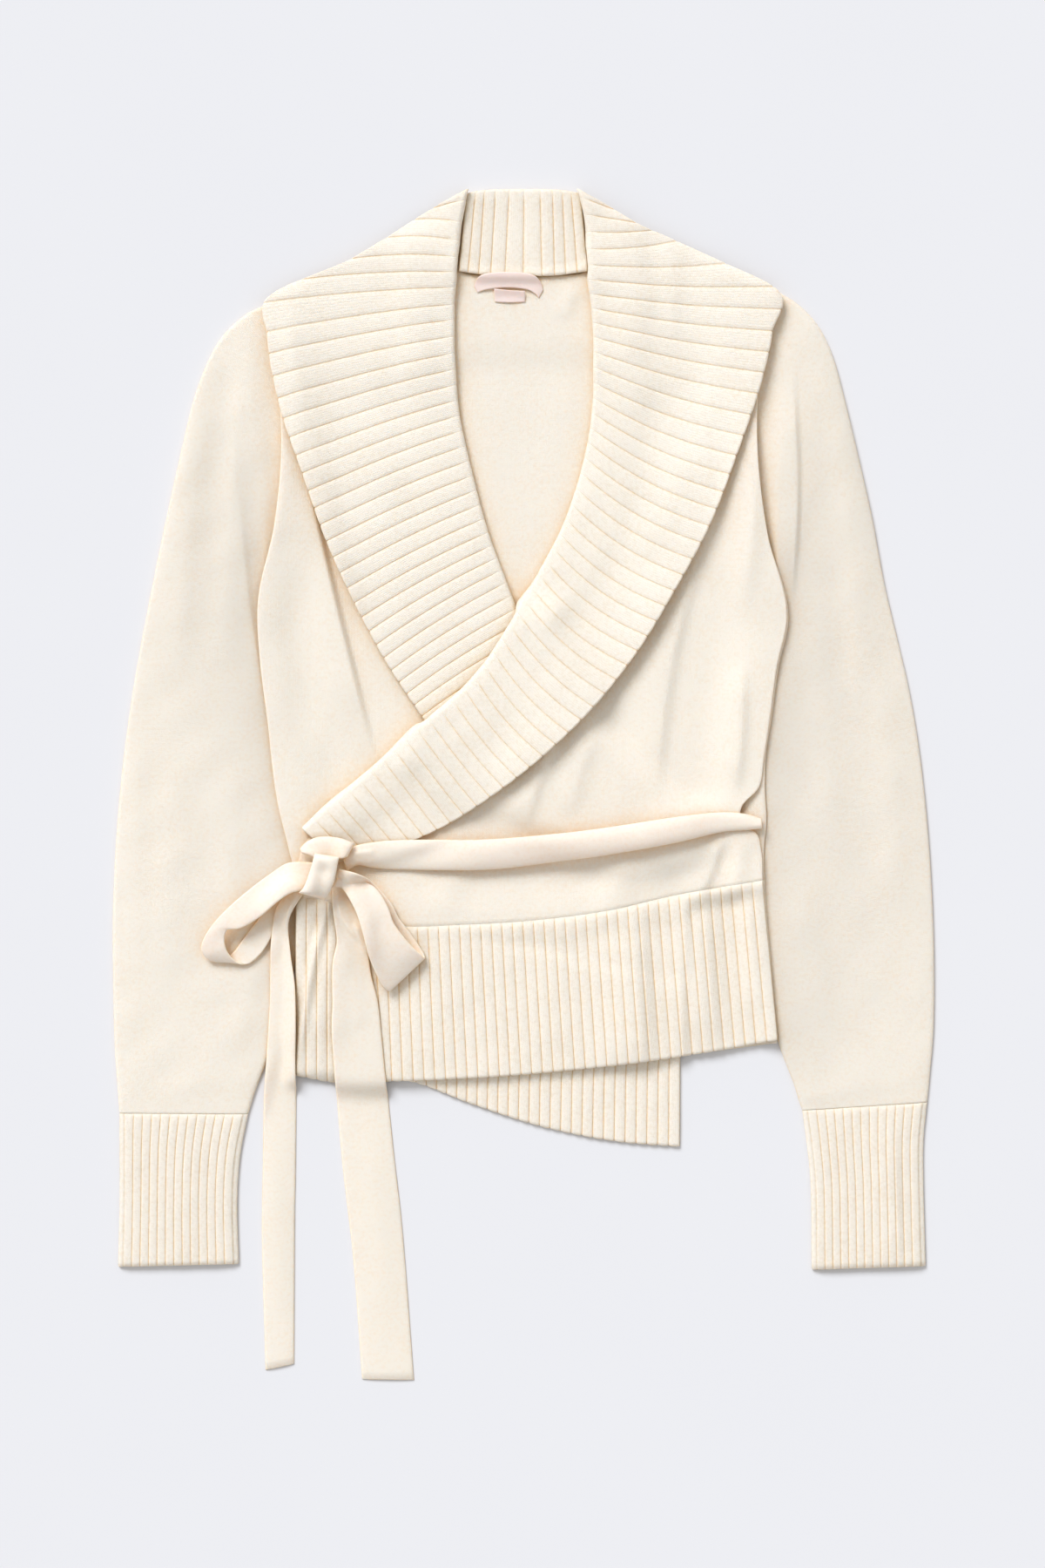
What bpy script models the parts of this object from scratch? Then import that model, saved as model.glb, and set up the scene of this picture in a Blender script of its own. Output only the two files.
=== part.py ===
"""A wrap cardigan laid flat on its back, its waist tie made up in a bow.

Metres, +Z up. The floor is Z = 0 and the neck points to +Y. Left and right are the wearer's,
so the wearer's left is at +X. The tables are in millimetres from the middle of the laid garment,
and each piece of cloth is laid on the ones before it.
"""

import bmesh
import bpy
import numpy as np

MM = 0.001

# Cloth
GAP = 0.35  # between two layers, and at a seam
JERSEY = 1.5  # wall of the plain knit
RIB = 1.5  # wall of the ribbing at the bottom of a groove
RIB_RELIEF = 0.9  # how far a rib stands above its grooves
TIE = 1.3
KNOT_WALL = 2.0  # the tie is bunched there
LOOP_LIFT = 1.0  # how far a loop of the bow stands open
LABEL = 0.5

# Cut
CUFF_RIBS = 13
HEM_RIBS_OVER = 45
HEM_RIBS_UNDER = 36
NECK_RIBS = 10
SLEEVE_AIR = 0.5  # between the two layers of a flat sleeve
SLEEVE_FULLNESS = 1.4
LAPEL_AIR = 0.6
COLLAR_LIFT = 5.0  # how far the over lapel's free edge stands off the front

# The height map on which each layer rests
CELL = 1.5
CLOTH_REACH = 2  # cells over which a sheet bridges a step
TIE_REACH = 5
MOST_SAMPLES = 40  # along a quad of a layer
TURNS = 12  # tries at lifting a layer clear of what is under it
SHARED_TURNS = 9  # of those, the ones that lift single corners
CLEAR = 0.02  # what is left to lift when a layer counts as clear
HALF_WIDTH = 300.0
HALF_LENGTH = 430.0

CREAM = (0.90, 0.84, 0.74)
RIB_CREAM = (0.91, 0.85, 0.75)
TIE_CREAM = (0.93, 0.88, 0.79)
LABEL_PINK = (0.92, 0.76, 0.72)
SHARP = 0.3  # faces that meet at more than this angle, in radians, are drawn with an edge

# Sleeve sections, shoulder to cuff: the outer fold, the under-arm fold, and how far the section
# bows towards the body.
SLEEVE_COLUMNS = "outer_x outer_y inner_x inner_y bow"
SLEEVE_RIGHT = (
    (-179, 329.5, -182.5, 130, 14.5),
    (-192.5, 322.5, -181, 113, 11),
    (-210.5, 304, -179.5, 93.5, 7),
    (-225, 271.5, -176.5, 69.5, 5),
    (-234.5, 234.5, -172, 41, 3),
    (-246.5, 180.5, -167.5, 9.5, 2),
    (-257.5, 126.5, -162, -22.5, 0.5),
    (-267.5, 72.5, -158, -52.5, 0),
    (-275, 20.5, -155.5, -83.5, 0),
    (-280, -32.5, -156, -113.5, 0),
    (-282.5, -83.5, -160, -142.5, 0),
    (-282.5, -131.5, -167.5, -167.5, 0),
    (-281.5, -176.5, -176, -189.5, 0),
    (-279.5, -206.5, -183.5, -208, 0),
    (-278, -226, -189.5, -226.5, 0),
)
SLEEVE_LEFT = (
    (171.5, 340.5, 182, 117.5, -16),
    (179, 337, 180.5, 101, -12),
    (191.5, 328.5, 177.5, 81.5, -8.5),
    (204, 314, 173, 59, -5.5),
    (213.5, 293.5, 168, 35, -3),
    (222, 262, 163, 7.5, -2),
    (231, 224.5, 159.5, -22.5, -0.5),
    (240, 184.5, 156.5, -50.5, 0),
    (248.5, 138.5, 156.5, -79, 0),
    (257.5, 100, 159, -105.5, 0),
    (266.5, 60.5, 163, -130.5, 0),
    (274, 12.5, 168.5, -154.5, 0),
    (279.5, -44.5, 174.5, -175, 0),
    (282.5, -107.5, 180.5, -191.5, 0),
    (282.5, -164.5, 186, -205.5, 0),
    (280, -197.5, 189.5, -217, 0),
    (278, -218.5, 192, -224, 0),
)

# Cuff sections, seam to edge: the outer and the inner fold.
CUFF_COLUMNS = "outer_x outer_y inner_x inner_y"
CUFF_RIGHT = (
    (-278, -226.5, -189.5, -227),
    (-278, -251.5, -195, -255.5),
    (-278, -285.5, -197, -287.5),
    (-279, -331.5, -196, -329.5),
)
CUFF_LEFT = (
    (278, -219, 192, -224.5),
    (275.5, -245.5, 195.5, -250.5),
    (275.5, -275.5, 198, -280.5),
    (277, -331, 198.5, -333.5),
)

# Lapel sections, each along one rib: the number of the rib, the roll at the neck, the free edge,
# how far the rib bows downwards, and the width of the stand folded under the roll.
LAPEL_COLUMNS = "rib roll_x roll_y free_x free_y bow stand"
LAPEL_OVER = (
    (-1.5, 37, 408.5, 54.5, 399.5, 0, 12),
    (0, 42.5, 391, 77, 385.5, 0, 22),
    (2, 44, 367, 104.5, 373, 2, 27),
    (3, 44.5, 356, 138.5, 357.5, 2, 28),
    (4, 45, 346, 171, 341.5, 2, 28),
    (6, 47, 326.5, 170, 311, 2, 28),
    (8, 48, 307, 164, 282.5, 2.5, 28),
    (12, 48, 265, 145, 225.5, 4, 26),
    (16, 42, 224, 126.5, 177.5, 5, 24),
    (20, 29, 181.5, 102.5, 133, 5, 22),
    (24, 10, 143.5, 77.5, 92, 5, 20),
    (28, -9.5, 108.5, 47, 53.5, 4, 18),
    (32, -33.5, 73, 12.5, 20, 3, 16),
    (36, -65, 44.5, -23.5, -8, 1, 14),
    (40, -96.5, 17, -60, -30.5, 0, 12),
    (44, -128, -10, -98, -45.5, 0, 10),
    (47.5, -155, -33.5, -134, -53.5, 0, 8),
)
LAPEL_UNDER = (
    (-5.5, -38, 408.5, -56, 399.5, 0, 12),
    (-4, -43, 386, -74, 388, 1, 20),
    (-2, -45.5, 362, -117.5, 361, 2, 27),
    (0, -47, 341, -177.5, 330.5, 2, 28),
    (1, -47.5, 329.5, -175, 310.5, 2, 28),
    (2, -47.5, 319, -173.5, 295.5, 2, 28),
    (4, -47.5, 296, -167.5, 265, 2, 28),
    (8, -44, 253.5, -150.5, 213.5, 2, 26),
    (12, -35, 212, -134, 167, 2, 24),
    (16, -24.5, 173, -115, 125, 2, 22),
    (20, -12, 138.5, -95, 87.5, 2, 20),
    (24, 2, 102.5, -74, 55, 2, 18),
    (26, 9.5, 84.5, -63.5, 40, 2, 17),
    (31, 32, 45.5, -28, 9.5, 0, 15),
    (37, 66, 8, 34, -26, 0, 12),
    (43, 104, -28, 88, -50, 0, 8),
)
LAST_SHOWN_RIB_UNDER = 26

# The collar behind the neck: its seam, its roll, and the free edge of the fall under the back.
NECK_COLUMNS = "seam_x seam_y roll_x roll_y free_x free_y"
COLLAR_BACK = (
    (-42, 353, -37, 408, -172, 327),
    (-36, 352, -31, 409, -148, 309),
    (-26.5, 350.5, -23, 409.5, -104, 305),
    (-15.5, 350, -12, 409.5, -57, 307),
    (0, 349.5, 0.5, 409.5, 0, 308.5),
    (15.5, 350, 14, 409.5, 57, 307),
    (25, 350.5, 23.5, 409.5, 103, 307),
    (35, 352, 31, 409, 145, 313),
    (42, 353, 37, 408, 166, 338),
)

# Edges of the body as points x, y, top to bottom or left to right.
SIDE_RIGHT = (
    (-182, 124),
    (-180.5, 84.5),
    (-176, 48.5),
    (-167.5, -17.5),
    (-161.5, -41.5),
    (-156.5, -65),
    (-156, -82),
)
SIDE_LEFT = (
    (181.5, 112),
    (175, 81.5),
    (170.5, 48.5),
    (166, 18.5),
    (165.5, -2.5),
    (166.5, -26),
    (165, -41.5),
    (165, -66),
)
# The left side of the over front opens in a slit for the tie.
SIDE_LEFT_OVER = (
    (180.5, 112),
    (174, 81.5),
    (169.5, 48.5),
    (165, 18.5),
    (161.5, -2),
    (149, -17),
    (149, -27),
    (160, -34),
    (163, -45),
    (164, -66),
)
SHOULDER_RIGHT = ((-176.5, 325.5), (-147, 339), (-117, 354), (-90, 367), (-66, 375))
NECKLINE_BACK = (
    (-50, 363),
    (-42.5, 352.3),
    (-26.5, 350),
    (0, 349),
    (26.5, 350),
    (42.5, 352.3),
    (50, 363),
)
SHOULDER_LEFT = ((66, 375), (88, 368), (104, 362), (137, 348), (169.5, 335))
SEAM_BACK = ((-156, -82), (-60, -95), (40, -92), (110, -78), (165, -66))
HEM_BACK = (
    (-156, -198),
    (-108, -200),
    (-48, -199),
    (12, -196),
    (72, -189),
    (132, -183),
    (174, -177.5),
)
SEAM_OVER = (
    (-156, -82),
    (-114.5, -92.5),
    (-87.5, -97),
    (-41.5, -96.5),
    (-5, -94.5),
    (59.5, -86.5),
    (105.5, -76),
    (164, -66),
)
HEM_OVER = (
    (-156.5, -199),
    (-129.5, -204),
    (-96.5, -203),
    (-5, -198.5),
    (65, -191.5),
    (123.5, -183.5),
    (174.5, -174.5),
)
SEAM_UNDER = (
    (-156, -87.5),
    (-108.5, -97),
    (-48.5, -106.5),
    (11.5, -118.5),
    (59.5, -129.5),
    (108, -140),
)
HEM_UNDER = (
    (-156, -195.5),
    (-108.5, -198.5),
    (-76, -203.5),
    (-36, -218.5),
    (14, -234.5),
    (68.5, -245),
    (107.5, -248),
)

# Large folds as x0, y0, x1, y1, x2, y2, left, right, height: a line through three points, the
# reach of the fold to the left and to the right of it (looking from start to end), and its height.
FOLDS_SLEEVE_RIGHT = (
    (-196, 300, -203, 240, -208, 150, 12, 12, 2.2),
    (-232, 230, -240, 120, -245, -20, 12, 12, 1.6),
    (-196, 200, -190, 110, -178, 30, 10, 10, 1.4),
)
FOLDS_SLEEVE_LEFT = (
    (186, 276, 186, 180, 182, 112, 3, 26, 2.9),
    (222, 150, 232, 60, 238, -40, 14, 14, 1.8),
)
FOLDS_FRONT_UNDER = (
    (-154, 215, -128, 120, -104, 20, 2.5, 24, 3.2),
    (-166, 250, -164, 190, -176, 140, 8, 8, 1.2),
)
FOLDS_FRONT_OVER = (
    (130, 190, 108, 90, 90, -20, 14, 16, 3.0),
    (150, 90, 156, 40, 150, -10, 9, 9, 2.2),
    (0, 20, 8, -2, 16, -25, 9, 9, 1.8),
    (146, -30, 139, -55, 130, -76, 12, 4, 3.0),
    (70, -50, 62, -80, 56, -100, 14, 14, 2.0),
)
FOLDS_HEM_OVER = (
    (62, -84, 66, -135, 70, -190, 16, 12, 2.4),
    (-130, -95, -136, -120, -146, -150, 5, 8, 2.4),
    (118, -80, 122, -130, 126, -180, 12, 14, 1.4),
)

# The tie: each row is one cross-section, from its upper or outer edge to the other.
BAND_COLUMNS = "x0 y0 x1 y1"
TIE_ROOT = ((98, -30, 96, -46), (118, -26, 116, -42), (138, -22, 137, -35), (150, -21, 150, -31))
TIE_STRAP = (
    (163, -23.5, 163, -30),
    (152, -20.5, 152, -31),
    (134.5, -19.5, 134.5, -32.5),
    (101.5, -23, 101.5, -40),
    (59.5, -29.5, 59.5, -47.5),
    (23.5, -34, 23.5, -52.5),
    (-24.5, -38, -24.5, -58),
    (-81.5, -38.5, -81.5, -58),
    (-102.5, -40, -102.5, -57),
    (-116, -43, -113, -55),
    (-123, -50, -120.5, -58.5),
)
TIE_WRAP = (
    (-153, -44, -151.5, -47),
    (-148, -39.5, -146, -48),
    (-141, -36.5, -141, -50),
    (-132.5, -36, -131.5, -50.5),
    (-123.5, -37.5, -124, -50),
    (-116, -40.5, -120, -49),
)
KNOT = (
    (-142, -47, -126, -49.5),
    (-143.5, -54, -127.5, -57),
    (-146, -62, -129.5, -66),
    (-149, -70, -133, -74.5),
    (-152.5, -74, -136, -78.5),
)
LOOP_RIGHT_UPPER = (
    (-219, -117, -200, -120),
    (-219.5, -106, -205, -107),
    (-207, -88.5, -200.5, -98),
    (-190, -73.5, -181.5, -91),
    (-171.5, -61, -165, -78),
    (-160.5, -54.5, -153, -72),
    (-143, -54, -143, -71),
)
LOOP_RIGHT_LOWER = (
    (-219, -117, -200, -120),
    (-208, -105, -190.5, -123.5),
    (-190, -90, -178.5, -115),
    (-172, -76, -166, -97),
    (-156, -66, -152, -82),
)
LOOP_LEFT_UPPER = (
    (-89, -141.5, -69, -116.5),
    (-99, -131, -78, -111),
    (-107, -115, -87.5, -97),
    (-110, -100, -93, -86),
    (-118, -84, -101, -73.5),
    (-124, -74, -108, -65.5),
    (-131, -66, -118, -61),
)
LOOP_LEFT_LOWER = (
    (-89, -141.5, -69, -116.5),
    (-94, -124, -69.5, -110),
    (-104, -100, -80, -95),
    (-112, -84, -90, -86),
    (-124, -68, -112, -66),
)
TAIL_RIGHT = (
    (-158, -72, -151, -74),
    (-169, -85, -161, -93),
    (-172.5, -103, -160, -116),
    (-173.5, -124, -157, -138),
    (-174, -151, -156.5, -165),
    (-176, -186, -157, -186),
    (-178, -216, -157, -216),
    (-179, -268.5, -157.5, -268.5),
    (-179.5, -316, -158, -302),
    (-177, -402.5, -158.5, -398.5),
)
TAIL_LEFT = (
    (-131, -68, -122, -66),
    (-130, -86, -112, -88),
    (-127.5, -107, -107.5, -112),
    (-130.5, -124, -105, -130),
    (-130.5, -151, -100.5, -149),
    (-131, -168, -98, -172),
    (-129, -201, -96, -193),
    (-124, -262, -90, -252),
    (-116.5, -328, -83.5, -311),
    (-111, -403.5, -75.5, -403.5),
    (-108, -409.5, -77.5, -409),
)

# Bare labels in the back of the neck.
NECK_LABEL = (
    (-33.5, 348.5, -33.5, 342.5),
    (-24, 348, -23, 340),
    (-12, 346.5, -12, 337),
    (0, 345, 0, 336.5),
    (12.5, 343, 12.5, 336),
)
SIZE_TAB = ((-20, 340.5, -19.5, 332), (-10, 339.5, -10, 331.5), (1, 339, 1, 332))


def columns(table, names):
    """The table's columns as arrays, in the order of their names."""
    rows = np.array(table, float)
    if rows.shape[1] != len(names.split()):
        raise ValueError(names)
    return rows.T


def through(keys, values, at):
    """A smooth curve through values at keys, read at the places at."""
    keys = np.asarray(keys, float)
    values = np.asarray(values, float)
    at = np.asarray(at, float)
    slopes = np.gradient(values, keys, axis=0)
    first = np.clip(np.searchsorted(keys, at, side="right") - 1, 0, len(keys) - 2)
    span = (keys[first + 1] - keys[first])[:, None]
    t = (at - keys[first])[:, None] / span
    start, end = values[first], values[first + 1]
    curve = (2 * t**3 - 3 * t**2 + 1) * start + (3 * t**2 - 2 * t**3) * end
    curve += (t**3 - 2 * t**2 + t) * span * slopes[first]
    return curve + (t**3 - t**2) * span * slopes[first + 1]


def line(points, count):
    """count points evenly along a smooth curve through the given ones."""
    points = np.array(points, float)
    keys = np.concatenate([[0], np.cumsum(np.linalg.norm(np.diff(points, axis=0), axis=1))])
    fine = through(keys, points, np.linspace(0, keys[-1], 40 * len(points)))
    length = np.concatenate([[0], np.cumsum(np.linalg.norm(np.diff(fine, axis=0), axis=1))])
    at = np.linspace(0, length[-1], count)
    return np.stack([np.interp(at, length, fine[:, axis]) for axis in (0, 1)], axis=1)


def spread(table, names, count):
    """The sections of a table read at count even steps, as rows of all its columns."""
    rows = np.stack(columns(table, names), axis=1)
    return through(np.arange(len(rows)), rows, np.linspace(0, len(rows) - 1, count))


def across(start, end, share, bow=0.0):
    """Points at each share of the way from start to end, bowed sideways; rows x shares x 2."""
    start, end = np.asarray(start), np.asarray(end)
    chord = end - start
    length = np.maximum(np.linalg.norm(chord, axis=1), 1e-6)[:, None]
    side = np.stack([-chord[:, 1], chord[:, 0]], axis=1) / length
    bend = (np.zeros(len(start)) + bow)[:, None] * (4 * share * (1 - share))[None]
    return start[:, None] + chord[:, None] * share[None, :, None] + side[:, None] * bend[:, :, None]


def patch(top, bottom, left, right):
    """The grid of points between four edges that meet at the corners."""
    u = np.linspace(0, 1, len(top))[None, :, None]
    v = np.linspace(0, 1, len(left))[:, None, None]
    down = (1 - v) * top[None] + v * bottom[None]
    over = (1 - u) * left[:, None] + u * right[:, None]
    corners = (1 - v) * ((1 - u) * top[0] + u * top[-1])
    return down + over - corners - v * ((1 - u) * bottom[0] + u * bottom[-1])


def folds(points, table):
    """The height of the large folds at each point."""
    total = np.zeros(points.shape[:-1])
    for x0, y0, x1, y1, x2, y2, left, right, height in table:
        course = line(((x0, y0), (x1, y1), (x2, y2)), 15)
        step = np.gradient(course, axis=0)
        step /= np.linalg.norm(step, axis=1)[:, None]
        away = points[..., None, :] - course
        nearest = (away**2).sum(axis=-1).argmin(axis=-1)
        away = np.take_along_axis(away, nearest[..., None, None], axis=-2)[..., 0, :]
        along = step[nearest]
        side = along[..., 0] * away[..., 1] - along[..., 1] * away[..., 0]
        past = np.abs((along * away).sum(axis=-1))
        reach = np.where(side > 0, left, right)
        share = nearest / (len(course) - 1)
        end = np.clip(4 * share, 0, 1) * np.clip(4 * (1 - share), 0, 1)
        total += height * np.exp(-((side / reach) ** 2) - (past / 20) ** 2) * (0.15 + 0.85 * end)
    return total


def widened(field):
    """Each cell takes the highest of its neighbours."""
    for axis in (0, 1):
        field = np.maximum(field, np.maximum(np.roll(field, 1, axis), np.roll(field, -1, axis)))
    return field


def softened(field, times):
    for _ in range(times):
        for axis in (0, 1):
            field = (np.roll(field, 1, axis) + 2 * field + np.roll(field, -1, axis)) / 4
    return field


class Heap:
    """The height of the cloth laid so far, in mm, on a square grid."""

    def __init__(self):
        rows = int(2 * HALF_LENGTH / CELL) + 1
        self.top = np.zeros((rows, int(2 * HALF_WIDTH / CELL) + 1))

    def cell(self, points):
        row = (points[..., 1] + HALF_LENGTH) / CELL
        column = (points[..., 0] + HALF_WIDTH) / CELL
        return row, column

    def smooth_height(self, points, reach):
        field = self.top
        for _ in range(reach):
            field = widened(field)
        field = softened(field, (reach * reach + 8) // 2)
        row, column = self.cell(points)
        i, j = row.astype(int), column.astype(int)
        a, b = row - i, column - j
        near = (1 - a) * ((1 - b) * field[i, j] + b * field[i, j + 1])
        return near + a * ((1 - b) * field[i + 1, j] + b * field[i + 1, j + 1])

    def samples(self, grid):
        """Points spread over each quad of a grid: their place in the quad, and where they are when
        the quad is split along one diagonal and along the other.
        """
        near, over, down, far = grid[:-1, :-1], grid[:-1, 1:], grid[1:, :-1], grid[1:, 1:]
        sizes = [np.abs(np.diff(grid[..., :2], axis=axis)).max() for axis in (0, 1)]
        counts = [int(np.clip(np.ceil(size / CELL), 2, MOST_SAMPLES)) + 1 for size in sizes]
        for a in np.linspace(0, 1, counts[0]):
            for b in np.linspace(0, 1, counts[1]):
                if a + b < 1:
                    first = near + a * (down - near) + b * (over - near)
                else:
                    first = far + (1 - a) * (over - far) + (1 - b) * (down - far)
                if a < b:
                    second = near + b * (over - near) + a * (far - over)
                else:
                    second = near + a * (down - near) + b * (far - down)
                yield a, b, (first, second)

    def place(self, points):
        row, column = self.cell(points)
        return np.rint(row).astype(int), np.rint(column).astype(int)

    def add(self, grid):
        for _, _, splits in self.samples(grid):
            for points in splits:
                np.maximum.at(self.top, self.place(points), points[..., 2])

    def rise(self, grid, shared):
        """How far each corner has to rise so that no quad is inside what is laid; shared rises take
        each corner's part in the point that is inside, and others lift the whole quad.
        """
        filled = widened(self.top)
        total = np.zeros(grid.shape[:2])
        for a, b, splits in self.samples(grid):
            need = np.zeros(splits[0].shape[:2])
            for points in splits:
                below = filled[self.place(points)]
                need = np.maximum(need, np.where(below > 0, below + GAP - points[..., 2], 0))
            even = (a**2 + (1 - a) ** 2) * (b**2 + (1 - b) ** 2)
            for i, part in ((slice(None, -1), 1 - a), (slice(1, None), a)):
                for j, share in ((slice(None, -1), 1 - b), (slice(1, None), b)):
                    lifted = need * part * share / even if shared else need
                    total[i, j] = np.maximum(total[i, j], lifted)
        return total

    def slack(self, grid):
        """How far the whole grid can sink before it meets what is laid, or the floor."""
        filled = widened(self.top)
        least = grid[..., 2].min()
        for _, _, splits in self.samples(grid):
            for points in splits:
                below = filled[self.place(points)]
                least = min(least, np.where(below > 0, points[..., 2] - below - GAP, least).min())
        return max(least, 0)

    def lay(self, flat, thickness, lift=0.0, reach=CLOTH_REACH):
        """The under side of a sheet that rests on the heap, which then holds the sheet too. It
        bridges steps over a distance of about reach cells.
        """
        below = self.smooth_height(flat, reach)
        height = below + GAP * np.clip(2 * below, 0, 1) + lift
        grid = np.concatenate([flat, height[..., None]], axis=-1)
        for turn in range(TURNS):
            rise = self.rise(grid, shared=turn < SHARED_TURNS)
            if rise.max() < CLEAR:
                break
            grid[..., 2] += rise
        grid[..., 2] -= self.slack(grid)
        self.add(raised(grid, thickness))
        return grid


def raised(grid, height):
    """The grid moved up."""
    moved = grid.copy()
    moved[..., 2] += height
    return moved


def material(name, colour, roughness):
    made = bpy.data.materials.new(name)
    made.use_nodes = True
    shader = made.node_tree.nodes["Principled BSDF"]
    shader.inputs["Base Color"].default_value = (*colour, 1)
    shader.inputs["Roughness"].default_value = roughness
    shader.inputs["Metallic"].default_value = 0
    return made


def wall(name, outer, inner, colour, ring=False):
    """A closed wall of cloth between two grids of points; in a ring its columns go round."""
    middle = outer.reshape(-1, 3).mean(axis=0)
    rows, count = outer.shape[:2]
    mesh = bpy.data.meshes.new(name)
    shape = bmesh.new()
    sides = [[[shape.verts.new((p - middle) * MM) for p in row] for row in grid] for grid in (outer, inner)]
    following = [(j, (j + 1) % count) for j in range(count if ring else count - 1)]
    for side in sides:
        for i in range(rows - 1):
            for j, k in following:
                shape.faces.new((side[i][j], side[i][k], side[i + 1][k], side[i + 1][j]))
    over, under = sides
    for i in (0, rows - 1):
        for j, k in following:
            shape.faces.new((over[i][j], over[i][k], under[i][k], under[i][j]))
    if not ring:
        for j in (0, count - 1):
            for i in range(rows - 1):
                shape.faces.new((over[i][j], over[i + 1][j], under[i + 1][j], under[i][j]))
    bmesh.ops.recalc_face_normals(shape, faces=shape.faces)
    shape.to_mesh(mesh)
    shape.free()
    mesh.shade_smooth()
    mesh.set_sharp_from_angle(angle=SHARP)
    mesh.materials.append(material(name, colour, 0.9))
    piece = bpy.data.objects.new(name, mesh)
    piece.location = middle * MM
    piece.parent = GARMENT
    PARTS.objects.link(piece)
    return piece


def ribs(count, relief=RIB_RELIEF):
    """Heights across count ribs: two points a rib, its groove and its crest."""
    return relief * (np.arange(2 * count + 1) % 2)


def sheet(name, flat, thickness, colour, relief=0.0, lift=0.0, reach=CLOTH_REACH):
    """A single layer laid on the heap, with relief on its upper side."""
    under = HEAP.lay(flat, thickness + relief, lift, reach)
    return wall(name, raised(under, thickness + relief), under, colour)


def sleeve_ring(name, start, end, bow, thickness, relief, fullness, colour, below=5):
    """A flattened tube: start and end are its side folds, relief is raised on its upper side."""
    width = np.linalg.norm(end - start, axis=1)
    half = thickness + SLEEVE_AIR / 2
    top_share = np.linspace(0, 1, len(relief))
    inset = (half / width)[:, None]

    def course(share):
        rows = zip(start, end, share, bow)
        return np.array([across(first[None], last[None], row, bend)[0] for first, last, row, bend in rows])

    up = course(inset + (1 - 2 * inset) * top_share[None])
    down = course(inset + (1 - 2 * inset) * np.linspace(1, 0, below)[None])
    first, last = course(0 * inset), course(0 * inset + 1)
    air = SLEEVE_AIR + fullness(up)
    flat = np.zeros(down.shape[:2])
    inner_first, inner_last = course(inset * thickness / half), course(1 - inset * thickness / half)
    side = np.full((len(start), 1), half)

    def joined(first_side, upper, last_side, upper_z, lower_z):
        path = np.concatenate([first_side, upper, last_side, down], axis=1)
        height = np.concatenate([side, upper_z, side, lower_z], axis=1)
        return np.concatenate([path, height[..., None]], axis=-1)

    outer = joined(first, up, last, 2 * thickness + air + relief, flat)
    inner = joined(inner_first, up, inner_last, thickness + air, flat + thickness)
    HEAP.add(outer[:, : len(relief) + 2])
    return wall(name, outer, inner, colour, ring=True)


def folded(name, lower, upper, thickness, colour, relief=0.0):
    """Two layers joined by a rounded fold: lower ends and upper begins on the fold line."""
    fold = (lower[:, -1] + upper[:, 0]) / 2
    low, high = lower[:, -1, 2], upper[:, 0, 2] + thickness
    radius = (high - low) / 2
    fold[:, 2] = low + radius
    inward_low = lower[:, -2, :2] - fold[:, :2]
    inward_high = upper[:, 1, :2] - fold[:, :2]
    inward_low /= np.linalg.norm(inward_low, axis=1)[:, None]
    inward_high /= np.linalg.norm(inward_high, axis=1)[:, None]
    lower, upper = lower.copy(), upper.copy()
    lower[:, -1, :2] += inward_low * radius[:, None]
    upper[:, 0, :2] += inward_high * radius[:, None]
    inside = fold.copy()
    inside[:, :2] += (inward_low + inward_high) / 2 * thickness
    top = raised(upper, thickness + relief)
    outer = np.concatenate([lower, fold[:, None], top], axis=1)
    inner = np.concatenate([raised(lower, thickness), inside[:, None], upper], axis=1)
    return wall(name, outer, inner, colour)


def band(table, along, wide):
    """The grid of a ribbon: rows along it and columns across it."""
    rows = spread(table, BAND_COLUMNS, along)
    return across(rows[:, :2], rows[:, 2:], np.linspace(0, 1, wide))


def lapel_sections(table, at):
    rib, *rest = columns(table, LAPEL_COLUMNS)
    rows = through(rib, np.stack(rest, axis=1), at)
    return rows[:, 0:2], rows[:, 2:4], rows[:, 4], rows[:, 5]


def seam_of(table, first, last, count):
    """The front's edge where the lapel's stand is sewn to it."""
    roll, free, _, stand = lapel_sections(table, np.linspace(first, last, count))
    out = (free - roll) / np.linalg.norm(free - roll, axis=1)[:, None]
    return roll + out * (stand + GAP)[:, None]


def lapel(name, table, at, relief, lift):
    """A lapel: its stand lies under, the roll is its fold, and the ribs cross its upper side."""
    roll, free, bow, stand = lapel_sections(table, at)
    out = (free - roll) / np.linalg.norm(free - roll, axis=1)[:, None]
    lower = across(roll + out * stand[:, None], roll, np.array([0.0, 0.6, 1.0]))
    upper = across(roll, free, np.linspace(0, 1, 5) ** 0.9, -bow)
    laid = HEAP.lay(lower, RIB)
    rise = LAPEL_AIR + lift(at)[:, None] * np.linspace(0, 1, 5)[None] ** 2
    top = HEAP.lay(upper, RIB + relief[:, None], rise)
    return folded(name, laid, top, RIB, RIB_CREAM, relief[:, None])


def armhole(table, side):
    """The edge of the body along the sleeve's first section."""
    first = np.array(table[0], float)
    share = np.array([0.02, 0.25, 0.5, 0.75, 0.97])
    course = across(first[None, :2], first[None, 2:4], share, first[4])[0]
    course[:, 0] += side * (GAP + 0.25)
    return course


def body_edge(table, lower, side, top):
    points = [top, *armhole(table, side)[1:-1], *lower]
    return np.array(points, float)


def shifted(points, x, y):
    return np.array(points, float) + (x, y)


def hem(name, seam, edge, count, depth, table=()):
    """A ribbed band from a seam down to its edge."""
    top = line(shifted(seam, 0, -GAP), 2 * count + 1)
    bottom = line(edge, 2 * count + 1)
    flat = across(top, bottom, np.linspace(0, 1, depth)).transpose(1, 0, 2)
    return sheet(name, flat, RIB, RIB_CREAM, ribs(count)[None], folds(flat, table))


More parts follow.
